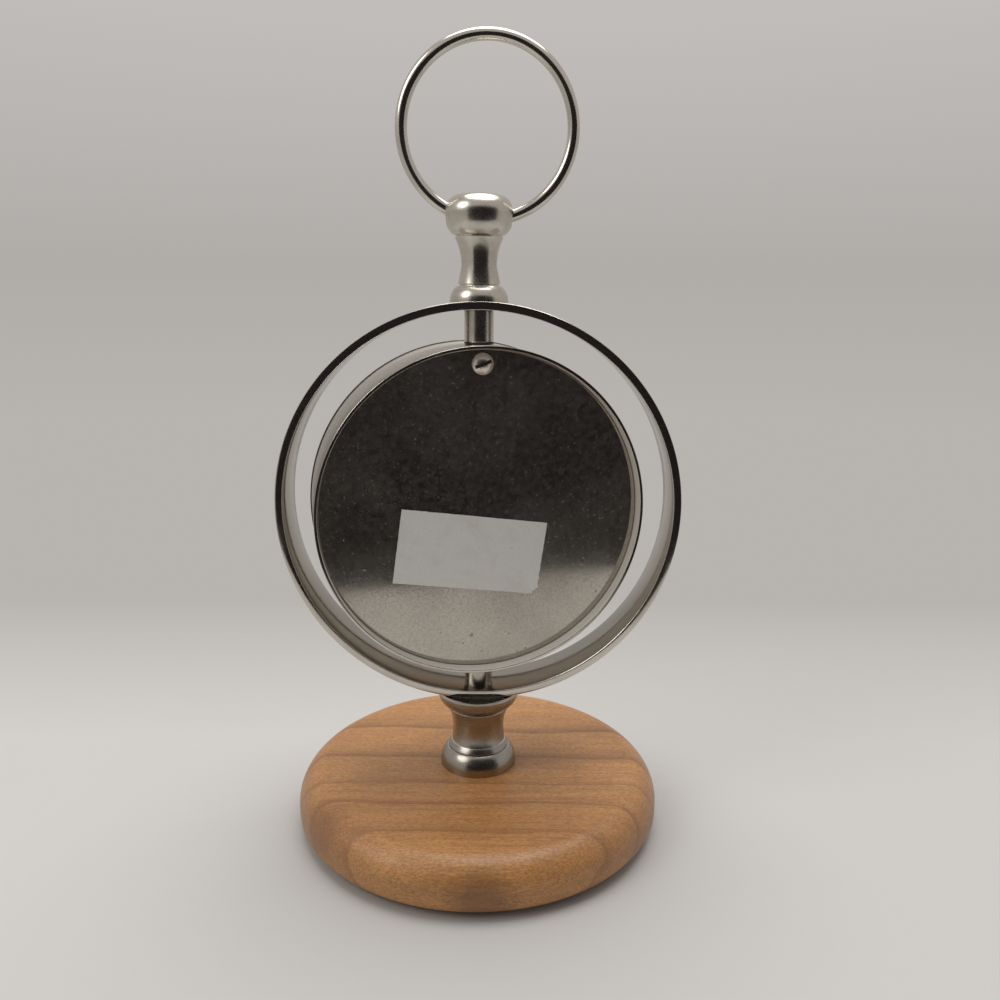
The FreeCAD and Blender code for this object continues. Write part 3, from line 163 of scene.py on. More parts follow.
def new_finish(name, offset=(0, 0, 0), turn=0.0, **fixed):
    """A material with fixed looks, its node tree, and the place at which its patterns are read."""
    material = bpy.data.materials.new(name)
    material.use_nodes = True
    tree = material.node_tree
    return dress(material, **fixed), tree, object_place(tree, offset, turn)


def cloud(tree, where, scale, detail=4.0, rough=0.55, twist=0.0):
    sockets = {"Vector": where, "Scale": scale, "Detail": detail, "Roughness": rough, "Distortion": twist}
    return add_node(tree, "TexNoise", sockets).outputs["Fac"]


def stretched(tree, scale, detail, rough=0.55, turn=0.0):
    """A cloud with its own scale in each direction, for threads and fibres."""
    return cloud(tree, object_place(tree, turn=turn, scale=scale), 1.0, detail, rough)


def spread(tree, value, start, stop, low=0.0, high=1.0):
    """Maps start..stop to low..high and holds it there."""
    return add_node(tree, "MapRange", {
        "Value": value, "From Min": start, "From Max": stop, "To Min": low, "To Max": high}).outputs[0]


def bumped(tree, height, depth, strength=1.0):
    """Normals of a surface whose height varies by depth metres."""
    sockets = {"Height": height, "Distance": depth, "Strength": strength}
    return add_node(tree, "Bump", sockets).outputs[0]


def carried(tree, name):
    """A share that a piece's faces carry: wear is 1 on the narrow faces of a broken edge."""
    return add_node(tree, "Attribute", attribute_name=name).outputs["Fac"]


print("pattern helpers ready")

# %% Helpers that count and mix
def sums(kind, tree, first, second=0.0):
    return add_node(tree, "Math", {0: first, 1: second}, operation=kind).outputs[0]


plus, minus, times, most = (partial(sums, kind) for kind in ("ADD", "SUBTRACT", "MULTIPLY", "MAXIMUM"))


def parts(tree, vector):
    """A vector's X, Y and Z."""
    return add_node(tree, "SeparateXYZ", {"Vector": vector}).outputs


def joined(tree, **axes):
    return add_node(tree, "CombineXYZ", axes).outputs[0]


def measured(tree, kind, *vectors):
    """The LENGTH of a vector, or the DISTANCE between two."""
    return add_node(tree, "VectorMath", dict(enumerate(vectors)), operation=kind).outputs["Value"]


def mixed(tree, share, first, second):
    first, second = ((*value, 1.0) if isinstance(value, tuple) else value for value in (first, second))
    return add_node(tree, "Mix", {0: share, 6: first, 7: second}, data_type="RGBA").outputs[2]


def tinted(tree, under, mask, share, colour):
    """Lays a colour over what is under it, by a share of the mask."""
    return mixed(tree, times(tree, mask, share), under, colour)


finishes = {}


def file_finish(slot, material):
    """Keeps a finish under the name of the record's slot."""
    finishes[slot] = material
    print("finish", slot, material.name)


print("mixing helpers ready")

# %% [markdown]
# ## Floor, wall and light
# The clock stands on a pale sheet in front of a plain wall, under broad soft light from above. The
# sheet fades out at its edges and the wall is the world's own colour, so every view round the object
# has the same plain ground. The room in front of the clock is dark: a dark card that only
# reflections see gives polished nickel its black upper half, as a black flag does in a studio.

# %% Floor
def mesh_of(bm, name):
    mesh = bpy.data.meshes.new(name)
    bm.to_mesh(mesh)
    bm.free()
    return mesh


def face_outwards(bm):
    bmesh.ops.recalc_face_normals(bm, faces=bm.faces)


def stage_piece(bm, name, material):
    mesh = mesh_of(bm, name)
    mesh.materials.append(material)
    piece = in_room(name, mesh)
    return piece


def studio_floor():
    material, tree, where = new_finish("floor_sheet", (0, -0.055, 0), roughness=0.85)
    along = parts(tree, where)
    edge_x = spread(tree, sums("ABSOLUTE", tree, along[0]), 0.20, 0.36)
    edge_y = spread(tree, sums("ABSOLUTE", tree, along[1]), 0.100, 0.262)
    sheet = mixed(tree, cloud(tree, where, 9.0, 3.0), (0.530, 0.518, 0.506), (0.552, 0.540, 0.527))
    dress(material, base_color=sheet, normal=bumped(tree, cloud(tree, where, 900.0, 3.0), 0.00004))
    fade = add_node(tree, "MixShader", {
        0: most(tree, edge_x, edge_y), 1: tree.nodes["Principled BSDF"].outputs[0],
        2: add_node(tree, "BsdfTransparent").outputs[0]})
    feed(tree, tree.nodes["Material Output"].inputs["Surface"], fade.outputs[0])
    bm = bmesh.new()
    bmesh.ops.create_circle(bm, cap_ends=True, segments=96, radius=6.0)
    return stage_piece(bm, "floor", material)


print("floor", studio_floor().name)

# %% World: plain wall, a little brighter above, that lights less from the room's side
def plain_wall():
    world = bpy.data.worlds.new("wall")
    bpy.context.scene.world = world
    world.use_nodes = True
    tree = world.node_tree
    ground = tree.nodes["Background"]
    ahead, height = parts(tree, add_node(tree, "TexCoord").outputs["Generated"])[1:3]
    lower = mixed(tree, spread(tree, height, -0.12, 0.02), (0.475, 0.455, 0.43), (0.435, 0.415, 0.398))
    seen = mixed(tree, spread(tree, height, 0.04, 0.26), lower, (0.53, 0.505, 0.49))
    front = spread(tree, ahead, -0.1, 0.7, 0.68, 0.20)
    lit = times(tree, front, spread(tree, height, -0.3, 0.0, 0.3, 1.0))
    lit = mixed(tree, lit, (0, 0, 0), (1.0, 0.985, 0.965))
    rays = add_node(tree, "LightPath").outputs
    mirrored = most(tree, rays["Is Glossy Ray"], rays["Is Transmission Ray"])
    plain = most(tree, rays["Is Camera Ray"], mirrored)
    feed(tree, ground.inputs["Color"], mixed(tree, plain, lit, seen))
    ground.inputs["Strength"].default_value = 1.0


plain_wall()
print("wall", bpy.context.scene.world.name)

# %% Lamps and the dark card
def soft_lamp(name, place, aim, size, power):
    lamp = bpy.data.lights.new(name, "AREA")
    lamp.shape = "DISK"
    lamp.size = size
    lamp.energy = power
    lamp.color = (1.0, 0.985, 0.965)
    holder = in_room(name, lamp)
    holder.location = place
    holder.rotation_euler = (Vector(aim) - Vector(place)).to_track_quat("-Z", "Y").to_euler()


def dark_card():
    material, tree, where = new_finish("dark_card", roughness=0.9, specular_ior_level=0.0)
    patch = cloud(tree, where, 3.0, 2.0)
    dress(material, base_color=mixed(tree, patch, (0.006, 0.0055, 0.006), (0.040, 0.034, 0.037)))
    bm = bmesh.new()
    bmesh.ops.create_grid(bm, x_segments=1, y_segments=1, size=0.5)
    place = moved(-0.08, 0.236, 0.17) @ turned(8, "Z") @ turned(90, "X") @ Matrix.Diagonal((0.56, 0.34, 1, 1))
    bm.transform(place)
    card = stage_piece(bm, "dark_card", material)
    for rays in ("camera", "diffuse", "transmission", "shadow"):
        setattr(card, f"visible_{rays}", False)


soft_lamp("ceiling_lamp", (-0.1, -0.25, 1.45), (0, 0, 0.05), 1.3, 14.0)
soft_lamp("side_lamp", (0.85, 0.45, 0.85), (0, 0, 0.1), 0.7, 3.2)
dark_card()

# %% [markdown]
# ## Drawing a profile and turning it
# Most pieces of the clock are turned on a lathe. In a mesh this is a short profile spun about an
# axis. Curved parts of the profile are arcs: one point is itself spun about the arc's centre, which
# keeps the drawing to a few corners. A smooth curve through many points would be longer to write and
# would round the crisp corners that a lathe tool leaves.

# %% Profiles with arcs
ARC_STEP = math.radians(7)
SHARP_CORNER = math.radians(30)
MERGE_WITHIN = 0.0005


def draw_profile(bm, corners, closed=False):
    """Joins (radius, height) corners. A third number is an arc's radius: it bulges to the right
    of the way drawn when positive, and is hollow when negative."""
    first = last = bm.verts.new((corners[0][0], 0, corners[0][1]))
    for corner in corners[1:]:
        goal = Vector((corner[0], 0, corner[1]))
        if len(corner) == 2:
            nearer = bm.verts.new(goal)
            bm.edges.new((last, nearer))
            last = nearer
            continue
        chord = goal - last.co
        right = Vector((chord.z, 0, -chord.x)).normalized()
        side = math.copysign(1, corner[2])
        middle = last.co + chord / 2 - right * side * math.sqrt(corner[2] ** 2 - chord.length ** 2 / 4)
        angle = 2 * math.asin(min(1, chord.length / 2 / abs(corner[2])))
        steps = max(2, math.ceil(angle / ARC_STEP))
        arc = bmesh.ops.spin(bm, geom=[last], cent=middle, axis=(0, -side, 0), angle=angle, steps=steps)
        last = next(item for item in arc["geom_last"] if isinstance(item, bmesh.types.BMVert))
        last.co = goal
    if closed:
        bm.edges.new((last, first))


def spin_round(bm, steps):
    """A full turn about Z, with the seam closed and the faces outwards."""
    bmesh.ops.spin(bm, geom=bm.verts[:] + bm.edges[:], cent=(0, 0, 0), axis=(0, 0, 1),
                   angle=math.tau, steps=steps, use_merge=True)
    bmesh.ops.remove_doubles(bm, verts=bm.verts, dist=MERGE_WITHIN)
    face_outwards(bm)


def break_edges(bm, width, segments):
    """Bevels the sharp corners by width millimetres and marks the new narrow faces as worn."""
    wear = bm.faces.layers.float["wear"]
    sharp = [e for e in bm.edges if e.is_manifold and e.calc_face_angle(0) > SHARP_CORNER]
    made = bmesh.ops.bevel(bm, geom=sharp, offset=width, offset_type="OFFSET", segments=segments,
                           profile=0.5, affect="EDGES", material=-1, clamp_overlap=True)
    for face in made["faces"]:
        face[wear] = 1.0


def lathe(corners, steps=192, closed=False, edge=0.15, segments=2):
    bm = bmesh.new()
    bm.faces.layers.float.new("wear")
    draw_profile(bm, corners, closed)
    spin_round(bm, steps)
    if edge:
        break_edges(bm, edge, segments)
    return bm


print("lathe ready, arcs every", round(math.degrees(ARC_STEP)), "degrees")

# %% Plain turned shapes
def tube(inner, outer, low, high, steps, **edges):
    return lathe([(inner, low), (outer, low), (outer, high), (inner, high)], steps, closed=True, **edges)


def disc(radius, low, high, steps, edge):
    return lathe([(0, low), (radius, low), (radius, high), (0, high)], steps, edge=edge)


def rod(radius, length, segments=96):
    """A round bar along Z, centred, for cutting holes."""
    bm = bmesh.new()
    bmesh.ops.create_cone(bm, cap_ends=True, segments=segments, radius1=radius, radius2=radius, depth=length)
    return bm


def satin_faces(bm, share, all_round=False, inside=None):
    """Marks the faces that were brushed, not buffed: those that look away from the axis, or all.
    Those that look towards the axis may have their own share; a share below 0 is painted shade."""
    satin = bm.faces.layers.float.new("satin")
    for face in bm.faces:
        if all_round or abs(face.normal.z) < 0.5:
            inner = inside is not None and face.normal.xy.dot(face.calc_center_median().xy) < 0
            face[satin] = inside if inner else share


def add_shape(bm, other, place=Matrix()):
    """Puts another drawn shape into this one."""
    other.transform(place)
    spare = mesh_of(other, "spare")
    bm.from_mesh(spare)
    bpy.data.meshes.remove(spare)


print("tubes, discs and rods ready")

# %% Finishing a piece
SMOOTH_BELOW = 22


def finish_piece(bm, name, body, slot, place=Matrix(), instead_of=(), finish=None, sharp=SMOOTH_BELOW):
    """Puts a drawn shape in its place, in metres, gives it its slot's finish or its own, and names
    the body it rides on."""
    bmesh.ops.remove_doubles(bm, verts=bm.verts, dist=MERGE_WITHIN)
    bm.transform(Matrix.Scale(MM, 4) @ place)
    return hang_piece(mesh_of(bm, name), name, body, slot, instead_of, finish, sharp)


def hang_piece(mesh, name, body, slot, instead_of=(), finish=None, sharp=SMOOTH_BELOW):
    mesh.shade_smooth()
    mesh.set_sharp_from_angle(angle=math.radians(sharp))
    mesh.materials.append(finish or finishes[slot])
    piece = in_room(name, mesh)
    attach(piece, body)
    if instead_of:
        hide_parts(*instead_of)
    print(name, len(mesh.polygons), "faces")
    return piece


def shown_mesh(thing):
    """The mesh that a piece has with its modifiers, or a text with its thickness."""
    return bpy.data.meshes.new_from_object(thing.evaluated_get(bpy.context.evaluated_depsgraph_get()))


def cut_away(piece, shape, place=Matrix()):
    """Takes a drawn shape, in millimetres, out of a finished piece."""
    face_outwards(shape)
    shape.transform(Matrix.Scale(MM, 4) @ place)
    mesh = mesh_of(shape, "cutter")
    cutter = in_room("cutter", mesh)
    cut = piece.modifiers.new("cut", "BOOLEAN")
    cut.operation, cut.solver, cut.object = "DIFFERENCE", "EXACT", cutter
    result = shown_mesh(piece)
    piece.modifiers.clear()
    old, piece.data = piece.data, result
    result.name = piece.name
    result.set_sharp_from_angle(angle=math.radians(SMOOTH_BELOW))
    bpy.data.objects.remove(cutter)
    bpy.data.meshes.remove(mesh)
    bpy.data.meshes.remove(old)
    print(piece.name, "after its cut", len(result.polygons), "faces")


# %% [markdown]
# ## Polished nickel
# Nickel plate is a warm grey mirror. Years of handling leave cloudy smudges, hairline scratches in
# every direction and small dull specks, and the plate wears brighter along its edges. A plain metal
# shader looks like chrome from a catalogue, so roughness and bump get those marks from noise that is
# stretched into lines. Faces that were brushed carry a satin share of their own. A share below 0
# darkens the plate with painted shade, as inside the hoop, where it stands in for the shaded drum
# that the hoop reflects; one above 1 makes it paler and less of a mirror, as inside the case's lip.

# %% Nickel for the hoop, the ring, the case and the screw
def hairlines(tree, turn, along, across, keep, seed=0.0):
    """Fine lines in one direction: noise that is stretched long, of which only the peaks stay."""
    where = object_place(tree, offset=(seed, seed, -seed), turn=turn, scale=(along, along, across))
    return spread(tree, cloud(tree, where, 1.0, 2.0, 0.5), keep, keep + 0.08)


def handled_nickel():
    material, tree, where = new_finish("nickel")
    smudge = spread(tree, cloud(tree, where, 55.0, 5.0, 0.6, 0.6), 0.38, 0.70)
    lines = most(tree, hairlines(tree, 0.5, 60, 2600, 0.66), hairlines(tree, 2.1, 90, 3400, 0.67, 0.3))
    specks = spread(tree, cloud(tree, where, 1500.0, 1.0), 0.74, 0.78)
    rub = carried(tree, "wear")
    satin_and_shade = carried(tree, "satin")
    plate = mixed(tree, smudge, (0.62, 0.585, 0.525), (0.54, 0.505, 0.445))
    plate = tinted(tree, plate, satin_and_shade, 0.7, (0.72, 0.685, 0.62))
    # Painted shade: a negative share darkens the plate towards this dark olive, inside the hoop.
    plate = tinted(tree, plate, satin_and_shade, -0.6, (0.22, 0.20, 0.16))
    plate = tinted(tree, plate, specks, 0.6, (0.20, 0.18, 0.15))
    plate = tinted(tree, plate, rub, 0.5, (0.80, 0.77, 0.72))
    dull = plus(tree, spread(tree, smudge, 0, 1, 0.07, 0.17), times(tree, lines, 0.10))
    dull = plus(tree, dull, times(tree, most(tree, specks, rub), 0.12))
    satin = times(tree, satin_and_shade, spread(tree, cloud(tree, where, 700.0, 4.0, 0.7), 0.3, 0.7, 0.30, 0.36))
    grain = times(tree, times(tree, satin_and_shade, 0.25), cloud(tree, where, 2400.0, 3.0, 0.7))
    return dress(material, base_color=plate, roughness=most(tree, dull, satin),
                 metallic=spread(tree, satin_and_shade, 1.0, 2.0, 1.0, 0.3),
                 normal=bumped(tree, plus(tree, lines, grain), 0.000004, 0.35))


file_finish("nickel", handled_nickel())

# %% [markdown]
# ## Turned nickel
# The pedestal and the finial were turned before they were plated, and the plate shows the tool's
# rings. Rings follow height and radius only, so noise is read at those two values: each ring then
# runs right round the piece, which noise in plain coordinates wouldn't do. The pedestal is the same
# recipe in a lower tone: painted shade, for the shade it stands in under the hoop and the drum.

# %% Nickel over lathe marks
def turned_nickel(name, painted_shade_tone=1.0):
    # A tone below 1 is painted shade, which darkens every colour of the plate.
    bright, plain, streak = (tuple(painted_shade_tone * part for part in colour) for colour in (
        (0.60, 0.57, 0.505), (0.45, 0.425, 0.37), (0.60, 0.565, 0.50)))
    rings_per_metre = 2600.0
    material, tree, where = new_finish(name, metallic=1.0)
    x, y, height = parts(tree, where)[:3]
    radius = measured(tree, "LENGTH", joined(tree, X=x, Y=y))
    ring = joined(tree, X=times(tree, radius, rings_per_metre), Y=times(tree, height, rings_per_metre))
    marks = cloud(tree, ring, 1.0, 3.0, 0.6)
    coarse = cloud(tree, ring, 0.28, 2.0, 0.5)
    smudge = spread(tree, cloud(tree, where, 130.0, 5.0, 0.65, 0.8), 0.40, 0.68)
    specks = spread(tree, cloud(tree, where, 1700.0, 1.0), 0.72, 0.77)
    plate = mixed(tree, smudge, bright, plain)
    plate = mixed(tree, spread(tree, marks, 0.35, 0.65, 0.0, 0.6), plate, streak)
    plate = tinted(tree, plate, specks, 0.5, (0.22, 0.20, 0.17))
    plate = tinted(tree, plate, carried(tree, "wear"), 0.5, (0.84, 0.81, 0.76))
    dull = plus(tree, spread(tree, smudge, 0, 1, 0.18, 0.28), times(tree, specks, 0.15))
    relief = plus(tree, times(tree, marks, 0.6), times(tree, coarse, 0.5))
    return dress(material, base_color=plate, roughness=plus(tree, dull, times(tree, marks, 0.06)),
                 normal=bumped(tree, relief, 0.000006, 0.8))


file_finish("turned_nickel", turned_nickel("turned_nickel"))

# %% [markdown]
# ## The wooden base
# The base is one round board of orange-brown wood with a big soft round above, a smaller one below
# and a satin lacquer. Its growth rings are parts of wide cylinders whose axis lies under and behind
# the base, along X. Rings worked out from the distance to that axis run straight on the flat top and
# bend down over the round edge, as they do on the real board. A painted stripe pattern would stay
# straight and give the trick away. The end grain at both sides drinks more lacquer and is darker, and
# painted shade darkens the middle of the back edge low down.

# %% Wood finish
def growth_lines(tree, where):
    """Dark late wood: it deepens slowly towards each ring's outside, ends at once, and differs from
    ring to ring."""
    sway = stretched(tree, (9, 30, 30), 2.0)
    wobble = times(tree, stretched(tree, (14, 60, 60), 3.0), 0.003)
    y, height = parts(tree, where)[1:3]
    across = plus(tree, y, times(tree, minus(tree, sway, 0.5), 0.012))
    from_axis = joined(tree, X=plus(tree, across, 0.048), Y=plus(tree, height, 0.030))
    distance = plus(tree, measured(tree, "LENGTH", from_axis), wobble)
    first_ring, rings_per_metre = 0.0680, 84.7
    count = times(tree, minus(tree, distance, first_ring), rings_per_metre)
    year = sums("FRACT", tree, count)
    line = most(tree, sums("POWER", tree, year, 7.0), spread(tree, year, 0.0, 0.05, 1.0, 0.0))
    each = joined(tree, X=sums("FLOOR", tree, count))
    return times(tree, line, spread(tree, cloud(tree, each, 7.3, 0.0), 0.3, 0.7, 0.15, 1.0))


def dark_ends(tree, where, patch, fibre):
    """1 where end grain shows at the sides, on a darker patch of the back edge, and on painted shade low in
    its middle.
    """
    facing = parts(tree, add_node(tree, "TexCoord").outputs["Normal"])[0]
    ends_and_shade = spread(tree, sums("ABSOLUTE", tree, facing), 0.45, 0.95, 0.0, 0.55)
    ends_and_shade = times(tree, ends_and_shade, spread(tree, patch, 0.3, 0.6, 0.5, 1.0))
    ragged = times(tree, minus(tree, fibre, 0.5), 0.006)
    # The first spot is painted shade low in the middle of the back edge; the second is a darker patch of
    # wood.
    for spot, reach in (((-0.002, 0.057, 0.007), 0.011), ((0.046, 0.034, 0.012), 0.012)):
        away = plus(tree, measured(tree, "DISTANCE", where, spot), ragged)
        ends_and_shade = most(tree, ends_and_shade, spread(tree, away, reach * 0.4, reach, 0.60, 0.0))
    return ends_and_shade


def base_wood():
    material, tree, where = new_finish("wood", coat_weight=0.22, coat_roughness=0.3, ior=1.5)
    line = growth_lines(tree, where)
    streak = stretched(tree, (22, 420, 420), 5.0, 0.6)
    fibre = stretched(tree, (70, 1900, 1900), 4.0, 0.65)
    patch = stretched(tree, (16, 40, 40), 3.0)
    grit = stretched(tree, (900, 2300, 2300), 3.0, 0.6)
    pore = spread(tree, stretched(tree, (330, 3600, 3600), 1.0), 0.68, 0.74)
    body = mixed(tree, spread(tree, patch, 0.35, 0.65), (0.60, 0.280, 0.086), (0.40, 0.168, 0.048))
    for pattern, start, stop, share, colour in (
            (streak, 0.35, 0.68, 0.55, (0.27, 0.115, 0.043)),
            (fibre, 0.30, 0.70, 0.50, (0.74, 0.405, 0.140)),
            (grit, 0.40, 0.64, 0.62, (0.25, 0.105, 0.034))):
        body = mixed(tree, spread(tree, pattern, start, stop, 0.0, share), body, colour)
    body = tinted(tree, body, line, 0.72, (0.15, 0.058, 0.024))
    body = tinted(tree, body, pore, 0.6, (0.10, 0.042, 0.02))
    # Darker end grain and patch, and painted shade low on the back edge.
    body = mixed(tree, dark_ends(tree, where, patch, fibre), body, (0.17, 0.070, 0.028))
    dull = spread(tree, cloud(tree, where, 80.0, 4.0), 0.3, 0.7, 0.36, 0.50)
    relief = minus(tree, times(tree, fibre, 0.35), plus(tree, pore, times(tree, line, 0.3)))
    return dress(material, base_color=body, roughness=plus(tree, dull, times(tree, pore, 0.2)),
                 normal=bumped(tree, relief, 0.00004, 0.6))


file_finish("walnut", base_wood())

# %% [markdown]
# The board is turned like the metal pieces: a flat top, a large round that rolls over to a nearly
# upright side, and a smaller round underneath, with the bolt's hole bored from below.

# %% Wooden base
def wooden_base():
    bm = lathe([(0, FELT_THICKNESS), (53.2, FELT_THICKNESS), (57.5, 5.8, 4.3), (57.5, 8.1),
                (48.5, BASE_TOP, 9.0), (0, BASE_TOP)], 256, edge=0)
    base = finish_piece(bm, "base_board", "stand", "walnut", instead_of=["wood_base"])
    bolt_hole, head_room = rod(2.6, 40.0), rod(6.3, 10.0)
    cut_away(base, bolt_hole)
    cut_away(base, head_room, moved(0, 0, FELT_THICKNESS))


wooden_base()

# %% [markdown]
# ## Pedestal
# The pedestal is one turned bar: a foot bead, a shoulder, a hollow neck, a ridge and a cup that opens
# to a flat disc under the hoop. Its profile is drawn once, with the arcs that the turner's tool cut.
# The disc is scooped where the hoop rests on it, by taking the hoop's own cylinder away from it.

# %% Pedestal
def turned_pedestal():
    profile = [
        (0, 0), (12.14, 0), (12.14, 0.8), (9.82, 6.2, 7.44), (9.25, 6.2), (9.25, 6.6), (9.6, 6.6),
        (8.65, 8.2), (8.4, 8.2), (8.12, 13.1), (9.71, 19.7, -14.5), (9.71, 20.1), (9.25, 20.1),
        (12.8, 25.0, 5.16), (13.07, 25.0), (13.07, 26.1), (0, 26.1),
    ]
    # The pedestal's nickel is darkened to a tone of 0.66 as painted shade.
    piece = finish_piece(lathe(profile, edge=0.14), "pedestal_turned", "stand", "turned_nickel",
                         moved(0, 0, BASE_TOP), ["pedestal"], turned_nickel("pedestal_nickel_painted_shade", 0.66))
    cut_away(piece, rod(HOOP_RADIUS, 40.0, 360), hoop_place)


turned_pedestal()

# %% [markdown]
# ## Hoop
# The hoop is a strip of flat nickel-plated brass bent into a ring and brazed, then polished on its
# rims. Its edges are only just broken, so the rim catches the light as one thin line. It is a
# rectangle spun about the hoop's own axis; a pipe would look too soft.

# %% Outer hoop
HOOP_HALF_WIDTH = 8.75


def outer_hoop():
    bm = tube(HOOP_INSIDE, HOOP_RADIUS, -HOOP_HALF_WIDTH, HOOP_HALF_WIDTH, 320, edge=0.22, segments=3)
    # The share of -1 inside is painted shade: it darkens the whole inside of the hoop.
    satin_faces(bm, 0.75, inside=-1.0)
    finish_piece(bm, "hoop_band", "stand", "nickel", hoop_place, ["outer_hoop"])


outer_hoop()

# %% [markdown]
# ## Posts, spacer and washers of the swivel
# A stud at the bottom and one at the top let the drum turn. The gap between hoop and drum is filled
# by a short spacer below and a longer post above, each with a red-brown fibre washer that lets metal
# slide on metal. They are plain turned pieces with small chamfers, so the same lathe makes them.

# %% Fibre finish
def fibre_finish():
    material, tree, where = new_finish("fibre", roughness=0.75)
    threads = stretched(tree, (900, 900, 5200), 4.0, 0.7)
    flecks = spread(tree, cloud(tree, where, 900.0, 3.0), 0.55, 0.7, 0.0, 0.5)
    body = mixed(tree, spread(tree, threads, 0.3, 0.7), (0.085, 0.036, 0.026), (0.13, 0.055, 0.04))
    body = mixed(tree, flecks, body, (0.05, 0.022, 0.017))
    return dress(material, base_color=body, normal=bumped(tree, threads, 0.00003, 0.8))


file_finish("fibre", fibre_finish())

# %% Spacer, post and washers
STUD_BORE, POST_RADIUS, WASHER_RADIUS = 1.6, 4.25, 4.3
SPACER_TOP, POST_FOOT, WASHER_THICKNESS = 51.2, 151.4, 0.5
INTO_HOOP = 0.5


def swivel_pieces():
    for name, node, low, high in (
            ("spacer_turned", "lower_spacer", HOOP_HEIGHT - HOOP_INSIDE - INTO_HOOP, SPACER_TOP),
            ("post_turned", "top_post", POST_FOOT, HOOP_HEIGHT + HOOP_INSIDE + INTO_HOOP)):
        bm = tube(STUD_BORE, POST_RADIUS, low, high, 96, edge=0.25)
        finish_piece(bm, name, "stand", "turned_nickel", instead_of=[node])
    washers = tube(STUD_BORE, WASHER_RADIUS, SPACER_TOP, SPACER_TOP + WASHER_THICKNESS, 96, edge=0.08)
    add_shape(washers, washers.copy(), moved(0, 0, POST_FOOT - WASHER_THICKNESS - SPACER_TOP))
    finish_piece(washers, "washers_fibre", "stand", "fibre", instead_of=["fibre_washers"])


swivel_pieces()

# %% [markdown]
# ## Finial and ring
# The finial stands on the hoop: a bead, a hollow stem and a flattened knob with a cross hole, through
# which the ring hangs loose. The hole is bored wider than the wire, so a dark crescent shows beside
# it. The ring is a round wire: a small circle spun about the ring's centre.

# %% Finial with its cross hole
RING_RADIUS, WIRE_RADIUS, HOLE_RADIUS = 23.8, 1.7, 3.55
KNOB_MIDDLE = HOOP_TOP + 23.9


def turned_finial():
    profile = [
        (0, -0.9), (8.43, -0.9), (8.43, 0), (6.3, 4.3, 5.4), (5.75, 4.3), (5.75, 4.8), (6.1, 4.8),
        (5.03, 9.7), (6.95, 17.6, -17.2), (6.4, 17.6), (6.4, 18.1), (7.39, 18.1), (10.0, 23.9, 7.75),
        (5.8, 29.0, 5.2), (0, 29.6, 28.3),
    ]
    piece = finish_piece(lathe(profile, edge=0.12), "finial_turned", "stand", "turned_nickel",
                         moved(0, 0, HOOP_TOP), ["finial"])
    cut_away(piece, rod(HOLE_RADIUS, 40.0), moved(0, 0, KNOB_MIDDLE) @ turned(90, "Y"))


turned_finial()

# %% Ring
def hanging_ring():
    bm = bmesh.new()
    bmesh.ops.create_circle(bm, cap_ends=False, segments=48, radius=WIRE_RADIUS)
    bm.transform(moved(RING_RADIUS, 0, 0) @ turned(90, "X"))
    spin_round(bm, 240)
    satin_faces(bm, 0.5, all_round=True)
    place = moved(-2.2, 0, KNOB_MIDDLE - 1.6 + RING_RADIUS) @ turned(90, "X")
    finish_piece(bm, "ring_wire", "bow", "nickel", place, ["top_ring"])


hanging_ring()

# %% [markdown]
# ## Drum
# The drum is a thin case, open at both ends. Behind, a polished cover lies on a ledge inside the
# case, so the case's lip stands round it like a frame. In front, the bezel holds the glass, a sloped
# reflector ring and the dial. All of it is turned about the drum's axis and then put in place by the
# drum's matrix.

# %% Case
def drum_case():
    profile = [
        (49.5, -9.4), (49.5, 18.6), (48.6, 18.6), (48.6, 14.7), (46.8, 14.7), (46.8, 14.1), (48.6, 14.1),
        (48.6, -3.8), (43.5, -3.8), (43.5, COVER_FRONT), (48.6, COVER_FRONT), (48.6, -9.4),
    ]
    bm = lathe(profile, 320, closed=True, edge=0.14, segments=3)
    satin_faces(bm, 1.1, inside=2.0)
    finish_piece(bm, "case_tube", "drum", "nickel", drum_place, ["drum_case"])


drum_case()

# %% [markdown]
# ## Back cover
# The cover is the largest mirror of the clock. It was buffed and then handled for years: close to it
# there is a fine grit all over, short hairlines, dull specks and a cloudy haze. It gets its own nickel
# with more of all of those, but is the same plate. Mist and dust lie on it as a thin uneven film. A
# film isn't metal, so it takes a little off the shader's Metallic, and shows best where the mirror
# is dark.

